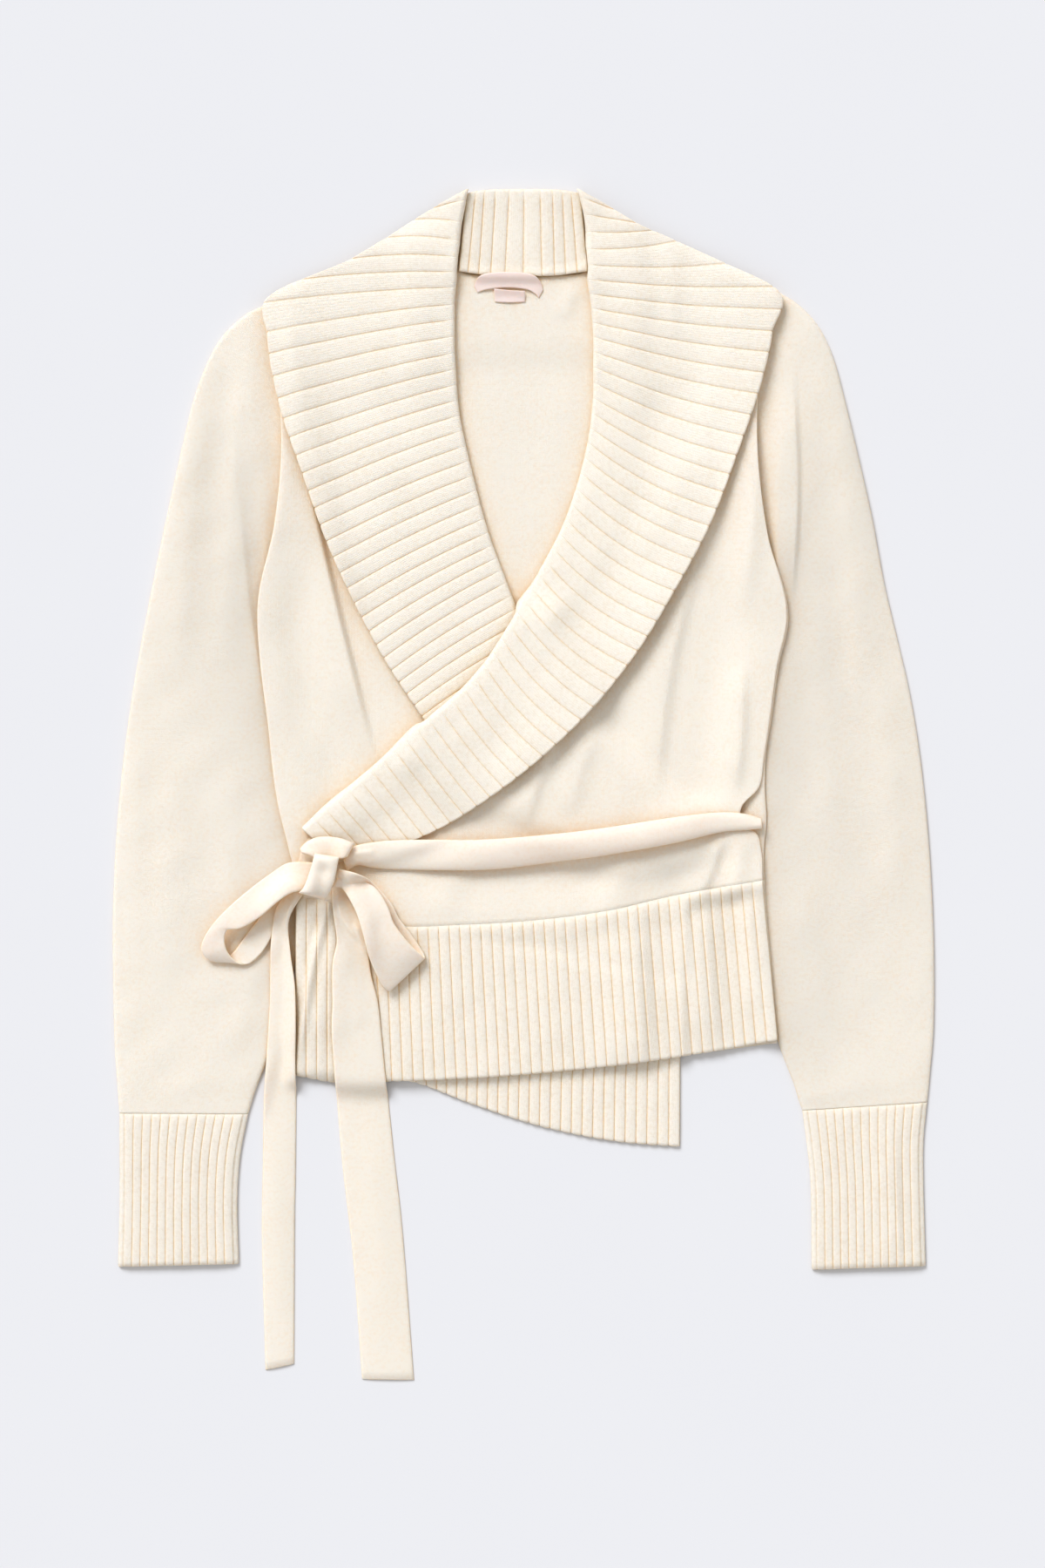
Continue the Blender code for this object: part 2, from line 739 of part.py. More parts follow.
def make_collar_back():
    rows = spread(COLLAR_BACK, NECK_COLUMNS, 2 * NECK_RIBS + 1)
    seam, roll, free = rows[:, 0:2], rows[:, 2:4], rows[:, 4:6]
    lower = HEAP.lay(across(free, roll, np.array([0, 0.35, 0.7, 1.0])), RIB)
    upper_flat = across(roll, seam, np.array([0, 0.4, 1.0]))
    return lower, upper_flat


def make_sleeves():
    def fullness(table):
        def puff(points):
            share = np.linspace(0, 1, points.shape[1])[None]
            return SLEEVE_FULLNESS * np.sin(np.pi * share) ** 0.7 + np.minimum(folds(points, table), 2.6)

        return puff

    plans = (
        ("sleeve_right", SLEEVE_RIGHT, FOLDS_SLEEVE_RIGHT, "cuff_right", CUFF_RIGHT),
        ("sleeve_left", SLEEVE_LEFT, FOLDS_SLEEVE_LEFT, "cuff_left", CUFF_LEFT),
    )
    for name, table, creases, cuff_name, cuff_table in plans:
        rows = spread(table, SLEEVE_COLUMNS, 17)
        sleeve_ring(
            name, rows[:, :2], rows[:, 2:4], rows[:, 4], JERSEY, np.zeros(10), fullness(creases), CREAM
        )
        rows = spread(cuff_table, CUFF_COLUMNS, 4)
        sleeve_ring(
            cuff_name,
            rows[:, :2],
            rows[:, 2:4],
            np.zeros(len(rows)),
            RIB,
            ribs(CUFF_RIBS),
            lambda points: np.zeros(points.shape[:2]),
            RIB_CREAM,
        )


def make_back():
    left = body_edge(SLEEVE_RIGHT, SIDE_RIGHT, 1, SHOULDER_RIGHT[0])
    right = body_edge(SLEEVE_LEFT, SIDE_LEFT, -1, SHOULDER_LEFT[-1])
    top = line(np.vstack([SHOULDER_RIGHT, NECKLINE_BACK, SHOULDER_LEFT]), 25)
    flat = patch(top, line(SEAM_BACK, 25), line(left, 14), line(right, 14))
    sheet("back", flat, JERSEY, CREAM)
    seam = line(shifted(SEAM_BACK, 0, -GAP), 9)
    flat = across(seam, line(HEM_BACK, 9), np.linspace(0, 1, 3)).transpose(1, 0, 2)
    sheet("hem_back", flat, RIB, RIB_CREAM)


def make_front_under():
    seam = seam_of(LAPEL_UNDER, -2.5, 43, 20)
    left = body_edge(SLEEVE_RIGHT, SIDE_RIGHT[:-1] + (SEAM_UNDER[0],), 1, SHOULDER_RIGHT[0])
    right = np.vstack([seam, [(110, -75), (109, -110), SEAM_UNDER[-1]]])
    top = np.vstack([SHOULDER_RIGHT[:4], seam[:1]])
    flat = patch(line(top, 13), line(SEAM_UNDER, 13), line(left, 20), line(right, 20))
    sheet("front_under", flat, JERSEY, CREAM, lift=folds(flat, FOLDS_FRONT_UNDER))
    hem("hem_front_under", SEAM_UNDER, HEM_UNDER, HEM_RIBS_UNDER, 3)


def make_front_over():
    seam = seam_of(LAPEL_OVER, 0.5, 47.5, 24)
    right = body_edge(SLEEVE_LEFT, SIDE_LEFT_OVER, -1, SHOULDER_LEFT[-1])
    left = np.vstack([seam, [(-155.5, -60), SEAM_OVER[0]]])
    top = np.vstack([seam[:1], SHOULDER_LEFT[2:]])
    flat = patch(line(top, 16), line(SEAM_OVER, 16), line(left, 22), line(right, 22))
    sheet("front_over", flat, JERSEY, CREAM, lift=folds(flat, FOLDS_FRONT_OVER))
    hem("hem_front_over", SEAM_OVER, HEM_OVER, HEM_RIBS_OVER, 4, FOLDS_HEM_OVER)


def make_lapel_under():
    shown = np.arange(-5.5, LAST_SHOWN_RIB_UNDER + 0.1, 0.5)
    hidden = np.linspace(LAST_SHOWN_RIB_UNDER, LAPEL_UNDER[-1][0], 7)[1:]
    relief = np.concatenate([RIB_RELIEF * (np.arange(len(shown)) % 2 == 0), np.zeros(len(hidden))])
    lapel("lapel_under", LAPEL_UNDER, np.concatenate([shown, hidden]), relief, lambda at: 0 * at)


def make_lapel_over():
    at = np.arange(-1.5, 47.6, 0.5)

    def lift(rib):
        return COLLAR_LIFT * np.clip((rib - 10) / 14, 0, 1) * np.clip((40 - rib) / 12, 0, 1)

    lapel("lapel_over", LAPEL_OVER, at, RIB_RELIEF * (np.arange(len(at)) % 2 == 0), lift)


def make_bow():
    def ribbon(name, table, along, wide, thickness=TIE):
        sheet(name, band(table, along, wide), thickness, TIE_CREAM, reach=TIE_REACH)

    def layer(table, along, lift):
        return HEAP.lay(band(table, along, 3).transpose(1, 0, 2), TIE, lift, TIE_REACH)

    ribbon("tie_strap", TIE_STRAP, 18, 4)
    right_low = layer(LOOP_RIGHT_LOWER, 7, 0)[:, ::-1]
    left_low = layer(LOOP_LEFT_LOWER, 7, 0)[:, ::-1]
    ribbon("tie_tail_right", TAIL_RIGHT, 14, 3)
    ribbon("tie_tail_left", TAIL_LEFT, 14, 3)
    right_up = layer(LOOP_RIGHT_UPPER, 9, LOOP_LIFT)
    left_up = layer(LOOP_LEFT_UPPER, 9, LOOP_LIFT)
    folded("tie_loop_right", right_low, right_up, TIE, TIE_CREAM)
    folded("tie_loop_left", left_low, left_up, TIE, TIE_CREAM)
    ribbon("tie_wrap", TIE_WRAP, 8, 3)
    ribbon("tie_knot", KNOT, 7, 4, KNOT_WALL)


def main():
    make_sleeves()
    fall, stand_flat = make_collar_back()
    make_back()
    stand = HEAP.lay(stand_flat, RIB + RIB_RELIEF, LAPEL_AIR)
    folded("collar_back", fall, stand, RIB, RIB_CREAM, ribs(NECK_RIBS)[:, None])
    make_front_under()
    make_lapel_under()
    sheet("tie_root", band(TIE_ROOT, 5, 3), TIE, TIE_CREAM)
    make_front_over()
    make_lapel_over()
    sheet("neck_label", band(NECK_LABEL, 8, 3), LABEL, LABEL_PINK)
    sheet("size_tab", band(SIZE_TAB, 4, 3), LABEL, LABEL_PINK)
    make_bow()


for thing in list(bpy.data.objects):
    bpy.data.objects.remove(thing, do_unlink=True)
PARTS = bpy.data.collections.new("wrap_cardigan")
bpy.context.scene.collection.children.link(PARTS)
GARMENT = bpy.data.objects.new("wrap_cardigan", None)
PARTS.objects.link(GARMENT)
HEAP = Heap()
main()
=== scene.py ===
"""The looks of a knitted wrap cardigan laid flat on its back, its waist tie made up in a bow.

The tables are in millimetres from the middle of the laid garment, and left and right are the
wearer's. Each piece of cloth is laid on the ones before it, on a map of the heights so far.
"""

import math

import bpy
import mathutils
import numpy as np
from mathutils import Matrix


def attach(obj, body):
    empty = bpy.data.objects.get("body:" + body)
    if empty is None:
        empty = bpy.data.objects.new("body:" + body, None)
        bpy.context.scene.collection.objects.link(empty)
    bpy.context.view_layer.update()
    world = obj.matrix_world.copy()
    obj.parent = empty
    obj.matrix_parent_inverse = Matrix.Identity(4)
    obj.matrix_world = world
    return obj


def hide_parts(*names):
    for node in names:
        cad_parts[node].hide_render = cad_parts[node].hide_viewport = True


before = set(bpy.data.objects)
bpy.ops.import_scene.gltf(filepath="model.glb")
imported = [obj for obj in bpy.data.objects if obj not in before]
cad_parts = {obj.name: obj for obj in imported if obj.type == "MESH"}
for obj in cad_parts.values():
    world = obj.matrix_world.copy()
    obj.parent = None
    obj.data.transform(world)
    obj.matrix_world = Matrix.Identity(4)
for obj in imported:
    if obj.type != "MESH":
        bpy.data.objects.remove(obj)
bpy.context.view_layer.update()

MM = 0.001

# Cloth
GAP = 0.35  # between two layers
JERSEY = 1.5  # wall of the plain knit
RIB = 1.5  # wall of the ribbing at the bottom of a groove
RIB_RELIEF = 1.1  # how far a rib stands above its grooves
LAPEL_RELIEF = 0.85
HIDDEN_RELIEF = 0.35  # share of a rib's height that is left where it runs into a fold
GROOVE_FADE = 7.0  # how far from a fold a groove is whole
TIE = 1.3
KNOT_WALL = 2.0  # the tie is bunched there
LABEL = 0.5

# Cut
CUFF_RIBS = 13
HEM_RIBS_OVER = 45
HEM_RIBS_UNDER = 36
HEM_RIB = 7.3  # width of a rib of the hem
NECK_RIBS = 10
WALES_A_RIB = 4.0
WALE = 1.7  # one column of stitches
COURSE = 1.3  # one row of stitches
SLEEVE_AIR = 0.5  # between the two layers of a flat sleeve
SLEEVE_FULLNESS = 1.0
LAPEL_AIR = 0.6
LAPEL_LIFT = 2.0  # how far the under lapel's free edge stands off the front
COLLAR_LIFT = 5.5  # and the over lapel's
ROLL_LIFT = 1.5  # the roll is fuller than the rest of the lapel
NECK_ROLL_LIFT = 1.4
ROLL_INSET = 2.6  # about the radius of the roll

# The side fold of a sleeve or cuff
EDGE_STEPS = np.array([0.25, 0.7, 1.4, 2.4])  # how far from it its columns of points lie
SIDE_RADIUS = 2.6
SIDE_HEIGHT = 1.6
SIDE_FADE = 14.0  # how far from it the cloth is full

# The height map on which each layer rests
CELL = 1.0
CLOTH_REACH = 3  # cells over which a sheet bridges a step
TIE_REACH = 6
LAPEL_REACH = 10
WIDE_REACH = 12  # for the back and the over front
HALF_WIDTH = 300.0
HALF_LENGTH = 430.0

# Where the columns of points lie in one rib, from its groove to the next
RIB_POINTS = np.array([0, 0.035, 0.085, 0.22, 0.5, 0.78, 0.915, 0.965])

# Cloths: colour, colour in the shade, height of the weave in metres, fibres, sheen, roughness,
# stitches, and how far light spreads in metres.
CREAM = (0.96, 0.91, 0.825)
# The colour painted in as shade: in the grooves, between the stitches and where other cloth is near.
SHADE = (0.88, 0.64, 0.38)
CLOTHS = {
    "jersey": (CREAM, SHADE, 0.00032, 0.6, 0.3, 0.9, 0.45, 0.002),
    "rib": (CREAM, (0.7, 0.54, 0.33), 0.00032, 0.6, 0.3, 0.9, 0.45, 0.002),
    "tie": ((0.955, 0.9, 0.81), SHADE, 0.0002, 0.4, 0.35, 0.8, 0.4, 0.0025),
    "label": ((0.95, 0.82, 0.785), (0.9, 0.7, 0.62), 0.00012, 0.2, 0.2, 0.5, 0.4, 0.001),
}
# Painted shade: the colour darkens where other cloth is near, from ambient occlusion.
SHADE_REACH = 0.02  # metres within which other cloth darkens a point
SHADE_SHARE = 1.05

# Light, table and camera
LAMP_STRENGTH = 2.45
LAMP_ANGLE = 26
LAMP_FROM = (-0.42, 0.70, 0.64)
LAMP_COLOUR = (1.0, 0.995, 1.0)
SKY_STRENGTH = 0.555
SKY_COLOUR = (1.0, 0.975, 0.935, 1)
TABLE_COLOUR = (0.83, 0.85, 0.905)
TABLE_HALF = 4.0
CAMERA_PLACE = (-0.0006, 0.0003, 2.55)
LENS = 85

# Sleeve sections, shoulder to cuff: the outer fold, the under-arm fold, and how far the section
# bows towards the body.
SLEEVE_COLUMNS = "outer_x outer_y inner_x inner_y bow"
SLEEVE_RIGHT = (
    (-179, 329.5, -182.5, 130, 14.5),
    (-192.5, 322.5, -181, 113, 11),
    (-210.5, 304, -179.5, 93.5, 7),
    (-225, 271.5, -176.5, 69.5, 5),
    (-234.5, 234.5, -172, 41, 3),
    (-246.5, 180.5, -167.5, 9.5, 2),
    (-257.5, 126.5, -162, -22.5, 0.5),
    (-267.5, 72.5, -158, -52.5, 0),
    (-275, 20.5, -155.5, -83.5, 0),
    (-280, -32.5, -156, -113.5, 0),
    (-282.5, -83.5, -160, -142.5, 0),
    (-282.5, -131.5, -167.5, -167.5, 0),
    (-281.5, -176.5, -176, -189.5, 0),
    (-279.5, -206.5, -183.5, -208, 0),
    (-278, -226, -189.5, -226.5, 0),
)
SLEEVE_LEFT = (
    (171.5, 340.5, 182, 117.5, -16),
    (179, 337, 180.5, 101, -12),
    (191.5, 328.5, 177.5, 81.5, -8.5),
    (204, 314, 173, 59, -5.5),
    (213.5, 293.5, 168, 35, -3),
    (222, 262, 163, 7.5, -2),
    (231, 224.5, 159.5, -22.5, -0.5),
    (240, 184.5, 156.5, -50.5, 0),
    (248.5, 138.5, 156.5, -79, 0),
    (257.5, 100, 159, -105.5, 0),
    (266.5, 60.5, 163, -130.5, 0),
    (274, 12.5, 168.5, -154.5, 0),
    (279.5, -44.5, 174.5, -175, 0),
    (282.5, -107.5, 180.5, -191.5, 0),
    (282.5, -164.5, 186, -205.5, 0),
    (280, -197.5, 189.5, -217, 0),
    (278, -218.5, 192, -224, 0),
)

# Cuff sections, seam to edge: the outer and the inner fold.
CUFF_COLUMNS = "outer_x outer_y inner_x inner_y"
CUFF_RIGHT = (
    (-278, -226.5, -189.5, -227),
    (-278, -251.5, -195, -255.5),
    (-278, -285.5, -197, -287.5),
    (-279, -331.5, -196, -329.5),
)
CUFF_LEFT = (
    (278, -219, 192, -224.5),
    (275.5, -245.5, 195.5, -250.5),
    (275.5, -275.5, 198, -280.5),
    (277, -331, 198.5, -333.5),
)

# Lapel sections, each along one rib: the number of the rib, the roll at the neck, the free edge,
# how far the rib bows downwards, and the width of the stand folded under the roll.
LAPEL_COLUMNS = "rib roll_x roll_y free_x free_y bow stand"
LAPEL_OVER = (
    (-1.5, 37, 408.5, 54.5, 399.5, 0, 12),
    (0, 42.5, 391, 77, 385.5, 0, 22),
    (2, 44, 367, 104.5, 373, 2, 27),
    (3, 44.5, 356, 138.5, 357.5, 2, 28),
    (4, 45, 346, 171, 341.5, 2, 28),
    (6, 47, 326.5, 170, 311, 2, 28),
    (8, 48, 307, 164, 282.5, 2.5, 28),
    (12, 48, 265, 145, 225.5, 4, 26),
    (16, 42, 224, 126.5, 177.5, 5, 24),
    (20, 29, 181.5, 102.5, 133, 5, 22),
    (24, 10, 143.5, 77.5, 92, 5, 20),
    (28, -9.5, 108.5, 47, 53.5, 4, 18),
    (32, -33.5, 73, 12.5, 20, 3, 16),
    (36, -65, 44.5, -23.5, -8, 1, 14),
    (40, -96.5, 17, -60, -30.5, 0, 12),
    (44, -128, -10, -98, -45.5, 0, 10),
    (47.5, -155, -33.5, -134, -53.5, 0, 8),
)
LAPEL_UNDER = (
    (-5.5, -38, 408.5, -56, 399.5, 0, 12),
    (-4, -43, 386, -74, 388, 1, 20),
    (-2, -45.5, 362, -117.5, 361, 2, 27),
    (0, -47, 341, -177.5, 330.5, 2, 28),
    (1, -47.5, 329.5, -175, 310.5, 2, 28),
    (2, -47.5, 319, -173.5, 295.5, 2, 28),
    (4, -47.5, 296, -167.5, 265, 2, 28),
    (8, -44, 253.5, -150.5, 213.5, 2, 26),
    (12, -35, 212, -134, 167, 2, 24),
    (16, -24.5, 173, -115, 125, 2, 22),
    (20, -12, 138.5, -95, 87.5, 2, 20),
    (24, 2, 102.5, -74, 55, 2, 18),
    (26, 9.5, 84.5, -63.5, 40, 2, 17),
    (31, 32, 45.5, -28, 9.5, 0, 15),
    (37, 66, 8, 34, -26, 0, 12),
    (43, 104, -28, 88, -50, 0, 8),
)
LAST_SHOWN_RIB_UNDER = 26

# The collar behind the neck: its seam, its roll, and the free edge of the fall under the back.
NECK_COLUMNS = "seam_x seam_y roll_x roll_y free_x free_y"
COLLAR_BACK = (
    (-42, 353, -37, 408, -172, 327),
    (-36, 352, -31, 409, -148, 309),
    (-26.5, 350.5, -23, 409.5, -104, 305),
    (-15.5, 350, -12, 409.5, -57, 307),
    (0, 349.5, 0.5, 409.5, 0, 308.5),
    (15.5, 350, 14, 409.5, 57, 307),
    (25, 350.5, 23.5, 409.5, 103, 307),
    (35, 352, 31, 409, 145, 313),
    (42, 353, 37, 408, 166, 338),
)

# Edges of the body as points x, y, top to bottom or left to right.
SIDE_RIGHT = (
    (-182, 124), (-180.5, 84.5), (-176, 48.5), (-167.5, -17.5), (-161.5, -41.5), (-156.5, -65),
    (-156, -82),
)
SIDE_LEFT = (
    (181.5, 112), (175, 81.5), (170.5, 48.5), (166, 18.5), (165.5, -2.5), (166.5, -26),
    (165, -41.5), (165, -66),
)
# The left side of the over front opens in a slit for the tie.
SIDE_LEFT_OVER = (
    (180.5, 112), (174, 81.5), (169.5, 48.5), (165, 18.5), (161.5, -2), (149, -17), (149, -27),
    (160, -34), (163, -45), (164, -66),
)
SHOULDER_RIGHT = ((-176.5, 325.5), (-147, 339), (-117, 354), (-90, 367), (-66, 375))
NECKLINE_BACK = (
    (-50, 363), (-42.5, 352.3), (-26.5, 350), (0, 349), (26.5, 350), (42.5, 352.3), (50, 363),
)
SHOULDER_LEFT = ((66, 375), (88, 368), (104, 362), (137, 348), (169.5, 335))
SEAM_BACK = ((-156, -82), (-60, -95), (40, -92), (110, -78), (165, -66))
HEM_BACK = (
    (-156, -198), (-108, -200), (-48, -199), (12, -196), (72, -189), (132, -183), (174, -177.5),
)
SEAM_OVER = (
    (-156, -77), (-135, -80), (-114.5, -91.5), (-87.5, -97), (-41.5, -96.5), (-5, -94.5),
    (59.5, -86.5), (105.5, -76), (164, -66),
)
HEM_OVER = (
    (-156.5, -199), (-129.5, -204), (-96.5, -203), (-5, -198.5), (65, -191.5), (123.5, -183.5),
    (174.5, -174.5),
)
SEAM_UNDER = (
    (-156, -87.5), (-108.5, -97), (-48.5, -106.5), (11.5, -118.5), (59.5, -129.5), (108, -140),
)
HEM_UNDER = (
    (-156, -195.5), (-108.5, -198.5), (-76, -203.5), (-36, -218.5), (14, -234.5), (68.5, -245),
    (107.5, -248),
)

# Folds as x0, y0, x1, y1, x2, y2, east, west, height: a ridge through three points, how far it
# reaches to the east and to the west of them, and its height. A steep side has a short reach.
FOLDS_SLEEVE_RIGHT = (
    (-214, 290, -231, 180, -238, 60, 9, 16, 2.0),
    (-190, 310, -199, 200, -203, 70, 15, 8, 2.2),
    (-196.8, 216.3, -189, 126.3, -174, 30.3, 2.5, 7, 1.1),
    (-240, 40, -244, -60, -248, -150, 14, 12, 1.2),
    (-206, 20, -200, -70, -205, -160, 12, 10, 1.3),
    (-262, 60, -266, -40, -264, -160, 9, 9, 0.9),
    (-178, -60, -186, -130, -200, -196, 8, 10, 1.0),
)
FOLDS_SLEEVE_LEFT = (
    (184.2, 290, 187.8, 204.3, 183.6, 115, 2.5, 24, 3.0),
    (206, 300, 226, 180, 233, 30, 16, 9, 2.2),
    (196, 150, 208, 40, 214, -70, 12, 10, 1.5),
    (243, 100, 254, 0, 258, -110, 11, 12, 1.4),
    (186, -60, 200, -130, 212, -190, 9, 10, 1.2),
)
FOLDS_BACK = (
    (38, 345, 31, 332, 27, 318, 5, 6, 1.2),
    (-30, 300, -20, 200, -6, 120, 20, 20, 0.8),
    (30, 300, 22, 220, 8, 150, 18, 18, 0.7),
)
FOLDS_FRONT_UNDER = (
    (-158, 250, -130, 126, -100, 5, 2.5, 26, 5.5),
    (-172, 270, -167, 200, -178, 140, 8, 8, 1.3),
    (-146, 60, -142, 0, -140, -60, 9, 12, 1.0),
)
FOLDS_FRONT_OVER = (
    (119, 165, 98.4, 72.3, 88.2, -20, 6, 18, 3.2),
    (140.4, 280, 128.4, 204.3, 117, 140, 8, 20, 2.4),
    (163, 262, 157, 180, 149.4, 110, 7, 7, 2.0),
    (149.4, 90, 148.2, 30.3, 143, -14, 5, 13, 2.6),
    (23.4, 46, 8.4, 0.3, -0.6, -34, 5, 11, 2.2),
    (50, 40, 38, 8, 30, -26, 6, 10, 1.4),
    (136, -32, 128.4, -59.7, 113.4, -86, 4, 14, 3.0),
    (151, -36, 147, -62, 149.4, -84, 6, 6, 1.6),
    (72, -46, 62, -80, 56, -104, 14, 14, 2.2),
    (-40, -50, -52, -72, -60, -96, 10, 12, 1.2),
)
FOLDS_HEM_OVER = (
    (74, -76, 78, -135, 80, -215, 9, 26, 5.0),
    (122, -60, 126, -120, 132, -200, 8, 18, 3.0),
    (-128, -64, -141, -108, -156, -200, 4, 3, 4.5),
    (-124, -76, -134, -118, -146, -196, 12, 5, 3.5),
    (113.4, -76, 118, -120, 122, -180, 10, 16, 2.0),
    (149.4, -70, 153, -110, 158, -170, 8, 8, 1.4),
    (-60, -96, -58, -150, -60, -200, 14, 16, 1.0),
    (20, -92, 22, -150, 24, -196, 16, 14, 0.8),
)
FOLDS_LAPEL_OVER = (
    (99, 386, 103, 340, 100, 296, 5, 9, 1.2),
    (70, 380, 76, 330, 80, 280, 14, 14, 0.8),
    (118, 250, 96, 190, 66, 140, 12, 18, 1.4),
    (40, 96, -20, 36, -80, -10, 12, 12, 0.8),
)
FOLDS_LAPEL_UNDER = (
    (-160, 336, -158, 290, -148, 240, 6, 7, 0.9),
    (-100, 340, -96, 260, -84, 180, 16, 16, 0.7),
)
FOLDS_STRAP = (
    (150, -26, 40, -38, -90, -48, 20, 20, 7.0),
    (-119, -48, -110, -46.5, -100, -46, 1.5, 3, 1.0),
)
FOLDS_TAIL_RIGHT = (
    (-156, -75, -161, -88, -165, -104, 3, 1.5, 1.4),
    (-166, -100, -168, -130, -168, -160, 6, 4, 0.8),
    (-170, -220, -169, -290, -168, -380, 7, 7, 0.6),
)
FOLDS_TAIL_LEFT = (
    (-127, -68, -126, -86, -110, -112, 12, 1.2, 2.2),
    (-116, -92, -112, -105, -108, -120, 8, 1.5, 1.2),
    (-118, -130, -114, -150, -112, -170, 7, 5, 0.8),
    (-106, -230, -100, -300, -94, -380, 10, 8, 0.8),
)
FOLDS_CUFFS = (
    (253, -222, 255, -280, 259, -340, 4, 14, 1.6),
    (-236, -222, -235, -280, -236, -340, 12, 12, 0.8),
)


# The tie: each row is one cross-section, from its upper or outer edge to the other.
BAND_COLUMNS = "x0 y0 x1 y1"
TIE_ROOT = ((98, -30, 96, -46), (118, -26, 116, -42), (138, -22, 137, -35), (150, -21, 150, -31))
TIE_STRAP = (
    (163, -23.5, 163, -30),
    (152, -20.5, 152, -31),
    (134.5, -19.5, 134.5, -32.5),
    (101.5, -23, 101.5, -40),
    (59.5, -29.5, 59.5, -47.5),
    (23.5, -34, 23.5, -52.5),
    (-24.5, -38, -24.5, -58),
    (-81.5, -38.5, -81.5, -58),
    (-102.5, -40, -102.5, -57),
    (-116, -43, -113, -55),
    (-123, -50, -120.5, -58.5),
)
TIE_WRAP = (
    (-153, -44, -151.5, -47),
    (-148, -39.5, -146, -48),
    (-141, -36.5, -141, -50),
    (-132.5, -36, -131.5, -50.5),
    (-123.5, -37.5, -124, -50),
    (-116, -40.5, -120, -49),
)
KNOT = (
    (-142, -47, -126, -49.5),
    (-143.5, -54, -127.5, -57),
    (-146, -62, -129.5, -66),
    (-149, -70, -133, -74.5),
    (-152.5, -74, -136, -78.5),
)
# The loops, from the knot round and back: both rims with their height over what lies below, and
# whether that is the cloth before the tails are laid, 0, or after, 1.
LOOP_COLUMNS = "x0 y0 z0 x1 y1 z1 over"
LOOP_RIGHT = (
    (-142.5, -53.8, 6, -146.9, -71.7, 6, 1),
    (-159.7, -53.8, 7, -157.4, -73.1, 7, 1),
    (-171.2, -60.2, 8, -167.2, -79, 7.5, 1),
    (-189, -73.6, 8.5, -181.5, -90.9, 8, 1),
    (-205.1, -88, 8.5, -194.2, -98.1, 8, 1),
    (-215.7, -100.4, 7.5, -202.4, -98.9, 8, 1),
    (-220.3, -110, 6, -205.2, -104.1, 7.5, 0.8),
    (-219.4, -116.4, 4, -204.7, -111.2, 6.5, 0.5),
    (-215.1, -120.4, 2, -201.7, -117.3, 5, 0.2),
    (-207.4, -121.5, 1, -195.3, -122.6, 2.6, 0),
    (-198.8, -115.5, 0.3, -188.4, -122.6, 1.2, 0),
    (-191.9, -106.3, 0.3, -180.4, -115.5, 1, 0),
    (-181.5, -92.6, 0.3, -174.1, -105.8, 1, 0),
    (-172.4, -81.1, 0.5, -168.3, -92.6, 1.5, 0),
    (-158.6, -69.6, 1, -156.3, -77.7, 2, 0),
)
LOOP_LEFT = (
    (-129.9, -69.6, 5, -125.3, -62.2, 5, 1),
    (-123.6, -70.8, 4, -106.7, -67.8, 3, 1),
    (-117.8, -78.8, 7, -98.9, -74.2, 6, 1),
    (-112.7, -89.1, 9, -92.9, -84.5, 8, 1),
    (-108.5, -102.9, 9.5, -89.1, -94.9, 8.5, 1),
    (-105.5, -115.5, 9, -82.2, -104.6, 8.5, 1),
    (-101.2, -127, 7, -75.4, -112.3, 7, 1),
    (-96.4, -136.8, 5, -70.4, -116.9, 5, 0.7),
    (-91.8, -141.5, 2.8, -68.2, -119.2, 3.2, 0.4),
    (-92.6, -137.6, 0.8, -68.8, -116.1, 1.5, 0.1),
    (-97.2, -127, 0.4, -73.4, -108.9, 1, 0),
    (-101.8, -115.5, 0.4, -79.4, -100.4, 1.2, 0),
    (-105.2, -104.1, 0.5, -86.3, -91.4, 2, 0),
    (-108.1, -91.4, 1, -91.4, -81.1, 3, 0),
    (-109.2, -69.6, 2.5, -102.9, -67.9, 3.5, 0.2),
    (-119, -68.7, 6, -112.4, -61.8, 7, 0.6),
    (-127.6, -63.9, 5, -125.3, -58.1, 5, 1),
)
TAIL_RIGHT = (
    (-158, -72, -151, -74),
    (-169, -85, -161, -93),
    (-172.5, -103, -160, -116),
    (-173.5, -124, -157, -138),
    (-174, -151, -156.5, -165),
    (-176, -186, -157, -186),
    (-178, -216, -157, -216),
    (-179, -268.5, -157.5, -268.5),
    (-179.5, -316, -158, -302),
    (-177, -402.5, -158.5, -398.5),
)
TAIL_LEFT = (
    (-131, -68, -122, -66),
    (-130, -86, -112, -88),
    (-127.5, -107, -107.5, -112),
    (-130.5, -124, -105, -130),
    (-130.5, -151, -100.5, -149),
    (-131, -168, -98, -172),
    (-129, -201, -96, -193),
    (-124, -262, -90, -252),
    (-116.5, -328, -83.5, -311),
    (-110.5, -409, -76, -409.5),
)

# Bare labels in the back of the neck.
NECK_LABEL = (
    (-33.8, 342.6, -31.5, 338.5),
    (-31, 348.3, -27, 340),
    (-24, 351, -21, 341),
    (-10, 351.8, -9.5, 341.6),
    (4, 350.6, 2.5, 340.4),
    (11, 346.5, 8, 337.5),
    (13.5, 340, 10.5, 334.8),
)
SIZE_TAB = ((-20, 340.5, -19.5, 332), (-10, 339.5, -10, 331.5), (1, 339, 1, 332))

